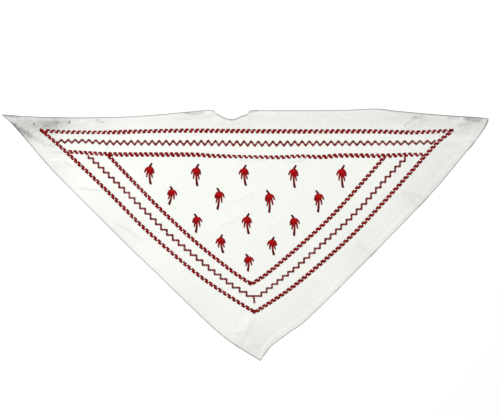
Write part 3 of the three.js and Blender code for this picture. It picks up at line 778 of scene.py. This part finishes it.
def add_noise(tree, place, scale, detail, distortion=0.0):
    noise = tree.nodes.new("ShaderNodeTexNoise")
    tree.links.new(place, noise.inputs["Vector"])
    feed(tree, noise.inputs["Scale"], scale)
    noise.inputs["Detail"].default_value = detail
    noise.inputs["Distortion"].default_value = distortion
    return noise.outputs["Fac"]


def read_value(tree, name):
    """A number that the mesh holds for each of its points."""
    node = tree.nodes.new("ShaderNodeAttribute")
    node.attribute_name = name
    return node.outputs["Fac"]


def read_place(tree):
    """The place in the piece's own frame, and its X and Y."""
    place = tree.nodes.new("ShaderNodeTexCoord").outputs["Object"]
    split = tree.nodes.new("ShaderNodeSeparateXYZ")
    tree.links.new(place, split.inputs["Vector"])
    return place, split.outputs["X"], split.outputs["Y"]


def new_group(name, inputs, outputs):
    """An empty node group, from (name, default) of its inputs and the names of its outputs.

    Beside it come the sockets inside it: what it is given, and what it puts out.
    """
    group = bpy.data.node_groups.new(name, "ShaderNodeTree")
    for socket, value in inputs:
        made = group.interface.new_socket(socket, in_out="INPUT", socket_type="NodeSocketFloat")
        made.default_value = value
    for socket in outputs:
        group.interface.new_socket(socket, in_out="OUTPUT", socket_type="NodeSocketFloat")
    given = group.nodes.new("NodeGroupInput").outputs
    return group, given, group.nodes.new("NodeGroupOutput").inputs


def place_group(tree, group, values):
    """One use of a node group with its own values, as the sockets that it puts out."""
    node = tree.nodes.new("ShaderNodeGroup")
    node.node_tree = group
    for name, value in values.items():
        node.inputs[name].default_value = value
    return node.outputs


def weave_group():
    """Plain weave: height of its threads and of small wrinkles, its slubs, and its mottling."""
    if "Plain weave" in bpy.data.node_groups:
        return bpy.data.node_groups["Plain weave"]
    group, given, out = new_group(
        "Plain weave",
        (("Threads per metre", 1900), ("Slub", 1.0), ("Wrinkles per metre", 90)),
        ("Height", "Wrinkle height", "Slub mask", "Mottle"),
    )
    links = group.links
    place, x, y = read_place(group)
    turns = maths(group, "MULTIPLY", given["Threads per metre"], math.pi)
    warp = maths(group, "SINE", maths(group, "MULTIPLY", x, turns))
    weft = maths(group, "SINE", maths(group, "MULTIPLY", y, turns))
    links.new(maths(group, "MULTIPLY", warp, weft), out["Height"])
    drawn_out = group.nodes.new("ShaderNodeMapping")
    drawn_out.inputs["Scale"].default_value = (60, 1400, 60)
    links.new(place, drawn_out.inputs["Vector"])
    slub = add_noise(group, drawn_out.outputs["Vector"], scale=1.0, detail=2.0)
    thick = maths(group, "SUBTRACT", slub, 0.5)
    links.new(maths(group, "MULTIPLY", thick, given["Slub"]), out["Slub mask"])
    wrinkles = given["Wrinkles per metre"]
    links.new(add_noise(group, place, wrinkles, detail=3.0, distortion=0.8), out["Wrinkle height"])
    finer = maths(group, "MULTIPLY", wrinkles, 2.5)
    links.new(add_noise(group, place, finer, detail=4.0), out["Mottle"])
    return group


def mark_group():
    """A small soft mark: 1 at its middle, fading out past its half length and half width."""
    if "Small mark" in bpy.data.node_groups:
        return bpy.data.node_groups["Small mark"]
    sizes = (("X", 0.0), ("Y", 0.0), ("Turn", 0.0), ("Half length", 0.001), ("Half width", 0.001))
    group, given, out = new_group("Small mark", sizes, ("Mask",))
    _, x, y = read_place(group)
    right = maths(group, "SUBTRACT", x, given["X"])
    ahead = maths(group, "SUBTRACT", y, given["Y"])
    cosine = maths(group, "COSINE", given["Turn"])
    sine = maths(group, "SINE", given["Turn"])
    along = maths(group, "MULTIPLY_ADD", right, cosine, maths(group, "MULTIPLY", ahead, sine))
    across = maths(
        group, "SUBTRACT", maths(group, "MULTIPLY", ahead, cosine),
        maths(group, "MULTIPLY", right, sine),
    )
    along = maths(group, "DIVIDE", along, given["Half length"])
    across = maths(group, "DIVIDE", across, given["Half width"])
    square = maths(group, "MULTIPLY_ADD", along, along, maths(group, "MULTIPLY", across, across))
    softened = maths(group, "EXPONENT", maths(group, "MULTIPLY", square, -1.0))
    group.links.new(softened, out["Mask"])
    return group


def twist_group():
    """Twisted thread: height of its plies, and the painted shade between them."""
    if "Thread twist" in bpy.data.node_groups:
        return bpy.data.node_groups["Thread twist"]
    group, given, out = new_group("Thread twist", (("Turns per metre", 900),), ("Height", "Groove shade"))
    travelled = read_value(group, "travelled")
    turns = maths(group, "MULTIPLY", travelled, given["Turns per metre"])
    spiral = maths(group, "ADD", turns, read_value(group, "turned"))
    wave = maths(group, "SINE", maths(group, "MULTIPLY", spiral, 2 * math.pi))
    group.links.new(wave, out["Height"])
    group.links.new(maths(group, "MULTIPLY_ADD", wave, -0.5, 0.5), out["Groove shade"])
    return group


# Materials


def start_material(name, roughness, sheen, specular):
    material = bpy.data.materials.new(name)
    material.use_nodes = True
    shader = material.node_tree.nodes["Principled BSDF"]
    shader.inputs["Roughness"].default_value = roughness
    shader.inputs["Sheen Weight"].default_value = sheen
    shader.inputs["Sheen Roughness"].default_value = 0.5
    shader.inputs["Specular IOR Level"].default_value = specular
    return material, material.node_tree, shader


def colour_surface(tree, shader, amount, first, second):
    """Colour the surface from the first colour at 0 to the second at 1."""
    node = tree.nodes.new("ShaderNodeMix")
    node.data_type = "RGBA"
    node.clamp_factor = True
    tree.links.new(amount, node.inputs["Factor"])
    node.inputs["A"].default_value = (*first, 1)
    node.inputs["B"].default_value = (*second, 1)
    tree.links.new(node.outputs["Result"], shader.inputs["Base Color"])


def add_bump(tree, shader, height, strength):
    bump = tree.nodes.new("ShaderNodeBump")
    bump.inputs["Strength"].default_value = strength
    bump.inputs["Distance"].default_value = 0.0001
    tree.links.new(height, bump.inputs["Height"])
    tree.links.new(bump.outputs["Normal"], shader.inputs["Normal"])


def cotton_material(name, shows_shade_and_marks):
    sizes = bpy.context.scene.neckerchief_cloth
    material, tree, shader = start_material(name, roughness=0.92, sheen=0.12, specular=0.15)
    weave = place_group(tree, weave_group(), {"Threads per metre": 1900, "Slub": 0.5})
    amount = maths(tree, "MULTIPLY", weave["Slub mask"], UNEVEN_DEPTH)
    uneven = maths(tree, "SUBTRACT", weave["Mottle"], 0.5)
    amount = maths(tree, "MULTIPLY_ADD", uneven, UNEVEN_DEPTH, amount)
    if shows_shade_and_marks:
        # Painted shade in creases and towards the tips and edges, with the grey patch, blotched by
        # the mottle.
        blotched = maths(tree, "MULTIPLY_ADD", weave["Mottle"], BLOTCH_SPREAD, BLOTCH_LEAST)
        darkened = maths(tree, "MULTIPLY", read_value(tree, "shade_and_grey_patch"), blotched)
        amount = maths(tree, "MULTIPLY_ADD", darkened, SHADE_AND_PATCH_DEPTH, amount)
        # Painted shade along the folded edges.
        amount = maths(tree, "MULTIPLY_ADD", read_value(tree, "rim"), SHADE_AND_PATCH_DEPTH, amount)
        for along, up, half_length, half_width, turn, darker in MARKS:
            x, y = spot(along, up)
            mark = place_group(tree, mark_group(), {
                "X": x, "Y": y, "Turn": math.radians(turn),
                "Half length": half_length * MM, "Half width": half_width * MM,
            })
            amount = maths(tree, "MULTIPLY_ADD", mark["Mask"], darker, amount)
    colour_surface(tree, shader, amount, sizes.cotton, sizes.darkened_cotton)
    height = maths(
        tree, "MULTIPLY_ADD", weave["Wrinkle height"], WRINKLE_SHARE, weave["Height"]
    )
    add_bump(tree, shader, height, strength=0.25)
    return material


def thread_material(name, bright, deep, roughness, turns):
    material, tree, shader = start_material(name, roughness, sheen=0.0, specular=0.1)
    twist = place_group(tree, twist_group(), {"Turns per metre": turns})
    # Painted shade at the strand ends and in the groove between plies.
    tip_shade = maths(tree, "MULTIPLY", read_value(tree, "tip"), TIP_SHADE_DEPTH)
    lit = maths(tree, "SUBTRACT", read_value(tree, "tone"), tip_shade)
    lit = maths(tree, "SUBTRACT", lit, maths(tree, "MULTIPLY", twist["Groove shade"], GROOVE_SHADE_DEPTH))
    colour_surface(tree, shader, lit, deep, bright)
    add_bump(tree, shader, twist["Height"], strength=0.3)
    return material


# The pieces


class NECKERCHIEF_OT_cloth(Operator):
    """Lay out the cotton panel, with its folds, creases and turned edges"""

    bl_idname = "neckerchief.cloth"
    bl_label = "Cloth"

    # The gap left under the cloth, and how far in from the edge it has turned over the hem, how
    # far past the hem it comes down again, where the creases start and how soon they are full

    CLEAR = 0.05 * MM
    TURN = 0.9 * MM
    HEM_FADE = 5.0 * MM
    CALM_RIM = 2 * MM
    CALM_FADE = 6 * MM

    # A furrow's deepest share of the room under it, how far in the edge is rounded, its share of
    # the full thickness, and how wide the painted shade along the fold is

    DEEPEST_FURROW = 0.5
    ROUNDING = 0.5 * MM
    EDGE_WALL = 0.35
    RIM_WIDTH = 1.2 * MM

    def execute(self, context):
        places, inward, edge_shade = self.net_places()
        upper, under = self.net_heights(context.scene.neckerchief_cloth, places, inward)
        points = np.vstack((np.column_stack((places, upper)), np.column_stack((places, under))))
        piece = add_mesh("cloth_visual", points, self.net_faces(len(places)))
        # Painted shade along the edge, strongest at the fold and fading inwards.
        rim = np.exp(-((inward / self.RIM_WIDTH) ** 2)) * edge_shade
        # Painted shade in creases and towards the tips and edges, with the grey patch.
        add_values(piece, "shade_and_grey_patch", np.tile(shade_and_grey_patch(places), 2))
        add_values(piece, "rim", np.tile(rim, 2))
        finish_piece(piece, cotton_material("Cotton cloth", True), "cotton", "cloth_panel")
        return {"FINISHED"}

    @staticmethod
    def net_places():
        """Rings of places from the outline to the middle, how far in they are, and how much painted
        shade greys the edge there.
        """
        middle, radius = inner_circle()
        edges = outline_edges()
        rim = np.array(RIM_RINGS) * MM
        rest = np.linspace(rim[-1], radius, RINGS - len(rim) + 2)[1:-1]
        places, inward, edge_shade = [], [], []
        for ring, distance in enumerate(np.concatenate((rim, rest))):
            steps = 3 * (RINGS - ring)
            for edge, rim_shade in zip(edges, RIM_SHADE):
                on_edge = edge.at(np.arange(steps) / steps * edge.length)
                places.append(on_edge + (middle - on_edge) * distance / radius)
                inward.append(np.full(steps, distance))
                edge_shade.append(np.full(steps, rim_shade))
        places.append(middle[None])
        inward.append((radius,))
        edge_shade.append((0,))
        return np.vstack(places), np.concatenate(inward), np.concatenate(edge_shade)

    def net_heights(self, sizes, places, inward):
        """Heights of the upper side and of the underside, which bulges over the hems."""
        rolled = np.sin(np.clip(inward / self.TURN, 0, 1) * math.pi / 2)
        down = np.clip((inward - sizes.hem_width) / self.HEM_FADE, 0, 1)
        lift = (sizes.hem_wall + self.CLEAR) * rolled * np.cos(down * math.pi / 2) ** 2
        under = fold_lift(places) + lift
        calm = np.clip((inward - self.CALM_RIM) / self.CALM_FADE, 0, 1)
        ripple = crease_lift(places) + crumple_lift(places)
        under += np.maximum(ripple * calm, -self.DEEPEST_FURROW * under) + self.CLEAR
        rounded = np.clip(inward / self.ROUNDING, 0, 1)
        wall = sizes.wall * (self.EDGE_WALL + (1 - self.EDGE_WALL) * rounded)
        return under + wall, under

    @staticmethod
    def net_faces(count):
        """Triangles between the rings on both sides, and the narrow wall round the edge."""
        first, faces = 0, []
        for ring in range(RINGS):
            outer, inner = 3 * (RINGS - ring), 3 * (RINGS - ring) - 3
            following = first + 3 * outer

            def out_at(step, first=first, total=3 * outer):
                return first + step % total

            def in_at(step, first=following, total=3 * inner):
                return first + (step % total if total else 0)

            for side in range(3):
                out, into = side * outer, side * inner
                faces.append((out_at(out - 1), out_at(out), in_at(into)))
                faces.append((out_at(out), out_at(out + 1), in_at(into)))
                for step in range(outer - 2):
                    a, b = out_at(out + step + 1), out_at(out + step + 2)
                    faces.append((a, b, in_at(into + step)))
                for step in range(1, inner + 1):
                    a, b = in_at(into + step - 1), in_at(into + step)
                    faces.append((a, out_at(out + step + 1), b))
            first = following
        upper = [face[::-1] for face in faces]
        under = [tuple(i + count for i in face) for face in faces]
        rim = 9 * RINGS
        sides = [(i, (i + 1) % rim, (i + 1) % rim + count, i + count) for i in range(rim)]
        return upper + under + sides


class NECKERCHIEF_OT_hems(Operator):
    """Turn the hems under the three edges and sew them down"""

    bl_idname = "neckerchief.hems"
    bl_label = "Hems"

    # The hem's section as shares of its width and thickness, how much shorter than the edge it
    # is at each end, how far in it starts, and its gap to the floor

    SECTION = ((0.0, 0.25), (0.04, 0.0), (0.96, 0.0), (1.0, 0.5), (0.96, 1.0), (0.04, 1.0))
    END_CUT = 1.0 * MM
    SETBACK = 0.95 * MM
    CLEAR = 0.04 * MM

    # The seam: how far in it runs, where it starts and ends, from one stitch to the next in
    # stitches, and its thread

    SEAM_INWARD = 4.9 * MM
    SEAM_START = 6 * MM
    SEAM_END = 8 * MM
    SEAM_PITCH = 1.25
    SEAM_WIDTH = 0.42 * MM
    SEAM_RISE = 0.25 * MM
    SEAM_TONES = (0.7, 1)
    SEAM_BRIGHT = (0.74, 0.74, 0.70)
    SEAM_DEEP = (0.5, 0.5, 0.47)

    def execute(self, context):
        sizes = context.scene.neckerchief_cloth
        stitch = context.scene.neckerchief_thread.hem_stitch
        middle, radius = inner_circle()
        material = cotton_material("Cotton hem", False)
        seam = Strands()
        rng = np.random.default_rng(STITCH_SEED)
        for name, edge in zip(("hem_top", "hem_right", "hem_left"), outline_edges()):
            on_edge = edge.at(np.linspace(self.END_CUT, edge.length - self.END_CUT, HEM_STEPS))
            rows = []
            for across, up in self.SECTION:
                distance = self.SETBACK + across * (sizes.hem_width - self.SETBACK)
                places = on_edge + (middle - on_edge) * distance / radius
                height = fold_lift(places) + self.CLEAR + up * sizes.hem_wall
                rows.append(np.column_stack((places, height)))
            points = np.stack(rows, axis=1).reshape(-1, 3)
            piece = add_mesh(name + "_visual", points, self.tube_faces())
            finish_piece(piece, material, "cotton", name)
            last = edge.length - self.SEAM_END
            for start in np.arange(self.SEAM_START, last, stitch * self.SEAM_PITCH):
                ends = edge.at(np.array((start, start + stitch)))
                ends = ends + (middle - ends) * self.SEAM_INWARD / radius
                tone = rng.uniform(*self.SEAM_TONES)
                seam.add(*ends, self.SEAM_WIDTH, self.SEAM_RISE, tone, pad=sizes.hem_wall)
        white = thread_material(
            "White seam thread", self.SEAM_BRIGHT, self.SEAM_DEEP, roughness=0.7, turns=1200
        )
        finish_piece(seam.build("hem_seam_visual"), white, "cotton")
        return {"FINISHED"}

    def tube_faces(self):
        sides = len(self.SECTION)
        last = (HEM_STEPS - 1) * sides
        faces = [
            (first + side, first + (side + 1) % sides,
             first + sides + (side + 1) % sides, first + sides + side)
            for first in range(0, last, sides) for side in range(sides)
        ]
        faces.append(tuple(range(sides - 1, -1, -1)))
        faces.append(tuple(range(last, last + sides)))
        return faces


class NECKERCHIEF_OT_bands(Operator):
    """Sew the six bands of linked motifs"""

    bl_idname = "neckerchief.bands"
    bl_label = "Bands"

    # A knot's height in strands, and how bright it is

    KNOT_RISE = 1.6
    KNOT_TONE = 0.35

    def execute(self, context):
        thread = context.scene.neckerchief_thread
        wide, rise = thread.strand_width, thread.strand_rise
        material = thread_material(
            "Red band thread", thread.bright, thread.deep, roughness=0.6, turns=700
        )
        rng = np.random.default_rng(STITCH_SEED)
        for node, shares, motif, sewn in BANDS:
            line = smooth_line(shares)
            strands = Strands()
            counts, gone, sizes = np.array(sewn).T
            for number in range(int(counts[0]), int(counts[-1]) + 1):
                base = np.interp(number, counts, gone) * line.length
                size = np.interp(number, counts, sizes)
                for s0, t0, s1, t1, count in motif:
                    travel = base + np.array((s0, s1)) * MM
                    ends = line.beside(travel, np.array((t0, t1)) * MM * size)
                    strands.add_bundle(ends, count, wide * size, rise, rng)
            for knotted, share, first, last, count in KNOTS:
                if knotted != node:
                    continue
                travel = share * line.length + np.array((first, last)) * MM
                ends = line.beside(travel, np.zeros(2))
                strands.add_bundle(ends, count, wide, self.KNOT_RISE * rise, rng, self.KNOT_TONE)
            finish_piece(strands.build(node + "_visual"), material, "band_thread", node)
        return {"FINISHED"}


class NECKERCHIEF_OT_zigzags(Operator):
    """Sew the zigzag along the long edge and the stairs along the short edges"""

    bl_idname = "neckerchief.zigzags"
    bl_label = "Zigzags"

    # How far each leg runs past its corners, and how far the tail slants to the right

    CROSSING = 0.5 * MM
    TAIL_SLANT = 1.6 * MM
    STRANDS_PER_STITCH = 3

    def execute(self, context):
        thread = context.scene.neckerchief_thread
        left = self.stairs(LEFT_STAIRS)
        tail = left[-1] + np.array((self.TAIL_SLANT, -thread.zigzag_tail))
        rows = (
            ("zigzag_top", self.waves(WAVES, thread.zigzag_height)),
            ("zigzag_left", left + [tail]),
            ("zigzag_right", self.stairs(RIGHT_STAIRS)),
        )
        material = thread_material(
            "Red zigzag thread", thread.zigzag_bright, thread.zigzag_deep,
            roughness=0.62, turns=1100,
        )
        for node, corners in rows:
            rng = np.random.default_rng(STITCH_SEED)
            strands = Strands(Strands.PULLED_IN)
            for start, end in zip(corners, corners[1:]):
                beyond = (end - start) / np.linalg.norm(end - start) * self.CROSSING
                run = (end - start + 2 * beyond) / thread.stitches_per_leg
                for number in range(thread.stitches_per_leg):
                    place = start - beyond + run * number
                    strands.add_bundle((place, place + run), self.STRANDS_PER_STITCH,
                                       thread.zigzag_width, thread.strand_rise, rng)
            finish_piece(strands.build(node + "_visual"), material, "zigzag_thread", node)
        return {"FINISHED"}

    @staticmethod
    def waves(rows, height):
        """Turning points of a zigzag: troughs and peaks by turns."""
        counts, along, up, share = np.array(rows).T
        corners = []
        for half in range(int(2 * counts[-1]) + 1):
            number = half / 2
            place = spot(np.interp(number, counts, along), np.interp(number, counts, up))
            swing = (half % 2 - 0.5) * height * np.interp(number, counts, share)
            corners.append(place + np.array((0, swing)))
        return corners

    @staticmethod
    def stairs(rows):
        """Corners of a row of stairs: each goes down, then across."""
        counts, along, up = np.array(rows).T
        corners = []
        for number in range(int(counts[-1]) + 1):
            place = spot(np.interp(number, counts, along), np.interp(number, counts, up))
            if corners:
                corners.append(np.array((corners[-1][0], place[1])))
            corners.append(place)
        return corners


class NECKERCHIEF_OT_palms(Operator):
    """Embroider the fifteen palm trees in satin stitch"""

    bl_idname = "neckerchief.palms"
    bl_label = "Palms"

    RISE = 0.5 * MM
    TONE_SPREAD = 0.06

    # A stroke: points on its middle line, a strand's width in pitches, how far the stitches
    # reach past the edge and stand up, how they slant, and how ragged their ends are

    STROKE_POINTS = 41
    STROKE_OVERLAP = 1.4
    STROKE_MARGIN = 0.45 * MM
    STROKE_PAD = 0.15 * MM
    STROKE_SLANT = 0.35
    STROKE_RAGGED = (0.94, 1.08)

    # The crown: a strand's width in pitches, how ragged it is, how high its middle reaches, how
    # much its sides droop, how far it reaches down, and how much painted shade darkens its sides

    CROWN_OVERLAP = 1.3
    CROWN_RAGGED = (0.95, 1.05)
    CROWN_PEAK = 1.25
    CROWN_DROOP = 0.35
    CROWN_FOOT = 0.8
    CROWN_SIDE_SHADE = 0.35

    def execute(self, context):
        palm = context.scene.neckerchief_palm
        material = thread_material(
            "Red palm satin", palm.bright, palm.deep, roughness=0.5, turns=500
        )
        for number, (along, up, lean, size, tilt) in enumerate(PALMS, 1):
            rng = np.random.default_rng(STITCH_SEED + number)
            turn = math.radians(tilt * lean)
            spin = np.array(((math.cos(turn), -math.sin(turn)), (math.sin(turn), math.cos(turn))))
            middle = spot(along, up)
            strands = Strands()

            def put(points, lean=lean, size=size, spin=spin, middle=middle):
                full = np.asarray(points) * (palm.width * lean, palm.height * size)
                return full @ spin.T + middle

            for stroke in PALM_STROKES:
                self.fill_stroke(strands, stroke, put, palm, rng)
            self.fill_crown(strands, put, palm, rng)
            node = f"palm_{number:02d}"
            finish_piece(strands.build(node + "_visual"), material, "palm_thread", node)
        return {"FINISHED"}

    def fill_stroke(self, strands, stroke, put, palm, rng):
        """Slanting stitches across a bent stroke, from its start to its tip."""
        start, bend, tip, wide, thin, bright, dull = stroke
        t = np.linspace(0, 1, self.STROKE_POINTS)[:, None]
        shares = (1 - t) ** 2 * np.array(start) + 2 * t * (1 - t) * np.array(bend)
        path = Line(put(shares + t ** 2 * np.array(tip)))
        for gone in np.arange(palm.pitch / 2, path.length, palm.pitch):
            share = gone / path.length
            here = path.at(gone)
            ahead = path.at(gone + palm.pitch) - path.at(gone - palm.pitch)
            ahead /= np.linalg.norm(ahead)
            half = palm.width * (wide + (thin - wide) * share) / 2 + self.STROKE_MARGIN
            aside = (np.array((-ahead[1], ahead[0])) + self.STROKE_SLANT * ahead) * half
            aside = aside * rng.uniform(*self.STROKE_RAGGED)
            tone = bright + (dull - bright) * share
            tone += rng.uniform(-self.TONE_SPREAD, self.TONE_SPREAD)
            strands.add(here - aside, here + aside, palm.pitch * self.STROKE_OVERLAP,
                        self.RISE, tone, self.STROKE_PAD)

    def fill_crown(self, strands, put, palm, rng):
        """Upright stitches over the crown, which stands higher in its middle."""
        across, up = PALM_CROWN
        wide = across * palm.width
        for x in np.arange(-wide + palm.pitch / 2, wide, palm.pitch):
            share = x / wide
            high = up * math.sqrt(1 - share ** 2) * rng.uniform(*self.CROWN_RAGGED)
            peak = high * (self.CROWN_PEAK - self.CROWN_DROOP * abs(share))
            ends = put(((share * across, -self.CROWN_FOOT * high), (share * across, peak)))
            # Painted shade on the sides of the padded crown.
            tone = 1.0 - self.CROWN_SIDE_SHADE * share ** 2
            tone += rng.uniform(-self.TONE_SPREAD, self.TONE_SPREAD)
            strands.add(*ends, palm.pitch * self.CROWN_OVERLAP, self.RISE, tone,
                        palm.pad * (1 - share ** 2))


class NECKERCHIEF_OT_stage(Operator):
    """Set out the floor, the soft light and the camera above the cloth"""

    bl_idname = "neckerchief.stage"
    bl_label = "Stage"

    FLOOR_HALF = 6.0
    LAMP_SIZE = 1.6
    LAMP_PLACE = (-2.0, 1.7, 3.2)
    LENS = 85.0
    SENSOR = 36.0

    def execute(self, context):
        stage = context.scene.neckerchief_stage
        corners = np.array(((-1, -1, 0), (1, -1, 0), (1, 1, 0), (-1, 1, 0))) * self.FLOOR_HALF
        floor = add_mesh("floor", corners, [(0, 1, 2, 3)], smooth=False)
        material, _, shader = start_material("Floor paper", roughness=0.9, sheen=0.0, specular=0.2)
        shader.inputs["Base Color"].default_value = (*stage.floor, 1)
        floor.data.materials.append(material)

        world = bpy.data.worlds.new("Studio")
        world.use_nodes = True
        sky = world.node_tree.nodes["Background"]
        sky.inputs["Color"].default_value = (1, 1, 1, 1)
        sky.inputs["Strength"].default_value = stage.fill
        context.scene.world = world

        key = bpy.data.lights.new("key", "AREA")
        key.shape = "SQUARE"
        key.size = self.LAMP_SIZE
        key.energy = stage.key_power
        lamp = bpy.data.objects.new("key", key)
        lamp.location = self.LAMP_PLACE
        aim = np.array((stage.view_x, stage.view_y, 0)) - np.array(lamp.location)
        lamp.rotation_mode = "QUATERNION"
        lamp.rotation_quaternion = Vector(aim).to_track_quat("-Z", "Y")
        context.scene.collection.objects.link(lamp)

        camera = bpy.data.cameras.new("camera")
        camera.lens = self.LENS
        camera.sensor_width = self.SENSOR
        camera.sensor_fit = "HORIZONTAL"
        camera.dof.use_dof = False
        camera.clip_start = 0.01
        camera.clip_end = 50
        eye = bpy.data.objects.new("camera", camera)
        height = stage.view_width * self.LENS / self.SENSOR
        eye.location = (stage.view_x, stage.view_y, height)
        context.scene.collection.objects.link(eye)
        context.scene.camera = eye
        context.scene.view_settings.view_transform = "Standard"
        return {"FINISHED"}


class NECKERCHIEF_PT_panel(Panel):
    bl_label = "Neckerchief"
    bl_idname = "NECKERCHIEF_PT_panel"
    bl_space_type = "VIEW_3D"
    bl_region_type = "UI"
    bl_category = "Neckerchief"

    def draw(self, context):
        scene = context.scene
        parts = (
            (scene.neckerchief_cloth, (NECKERCHIEF_OT_cloth, NECKERCHIEF_OT_hems)),
            (scene.neckerchief_thread, (NECKERCHIEF_OT_bands, NECKERCHIEF_OT_zigzags)),
            (scene.neckerchief_palm, (NECKERCHIEF_OT_palms,)),
            (scene.neckerchief_stage, (NECKERCHIEF_OT_stage,)),
        )
        for settings, operators in parts:
            box = self.layout.box()
            for name in settings.bl_rna.properties.keys():
                if name not in ("rna_type", "name"):
                    box.prop(settings, name)
            for operator in operators:
                box.operator(operator.bl_idname)


SETTINGS = (
    ("neckerchief_cloth", NeckerchiefCloth),
    ("neckerchief_thread", NeckerchiefThread),
    ("neckerchief_palm", NeckerchiefPalm),
    ("neckerchief_stage", NeckerchiefStage),
)
OPERATORS = (
    NECKERCHIEF_OT_cloth,
    NECKERCHIEF_OT_hems,
    NECKERCHIEF_OT_bands,
    NECKERCHIEF_OT_zigzags,
    NECKERCHIEF_OT_palms,
    NECKERCHIEF_OT_stage,
)


def register():
    for name, settings in SETTINGS:
        bpy.utils.register_class(settings)
        setattr(bpy.types.Scene, name, PointerProperty(type=settings))
    for operator in OPERATORS:
        bpy.utils.register_class(operator)
    bpy.utils.register_class(NECKERCHIEF_PT_panel)


def unregister():
    bpy.utils.unregister_class(NECKERCHIEF_PT_panel)
    for operator in reversed(OPERATORS):
        bpy.utils.unregister_class(operator)
    for name, settings in reversed(SETTINGS):
        delattr(bpy.types.Scene, name)
        bpy.utils.unregister_class(settings)


def main():
    register()
    bpy.ops.neckerchief.cloth()
    bpy.ops.neckerchief.hems()
    bpy.ops.neckerchief.bands()
    bpy.ops.neckerchief.zigzags()
    bpy.ops.neckerchief.palms()
    bpy.ops.neckerchief.stage()


if __name__ == "__main__":
    main()
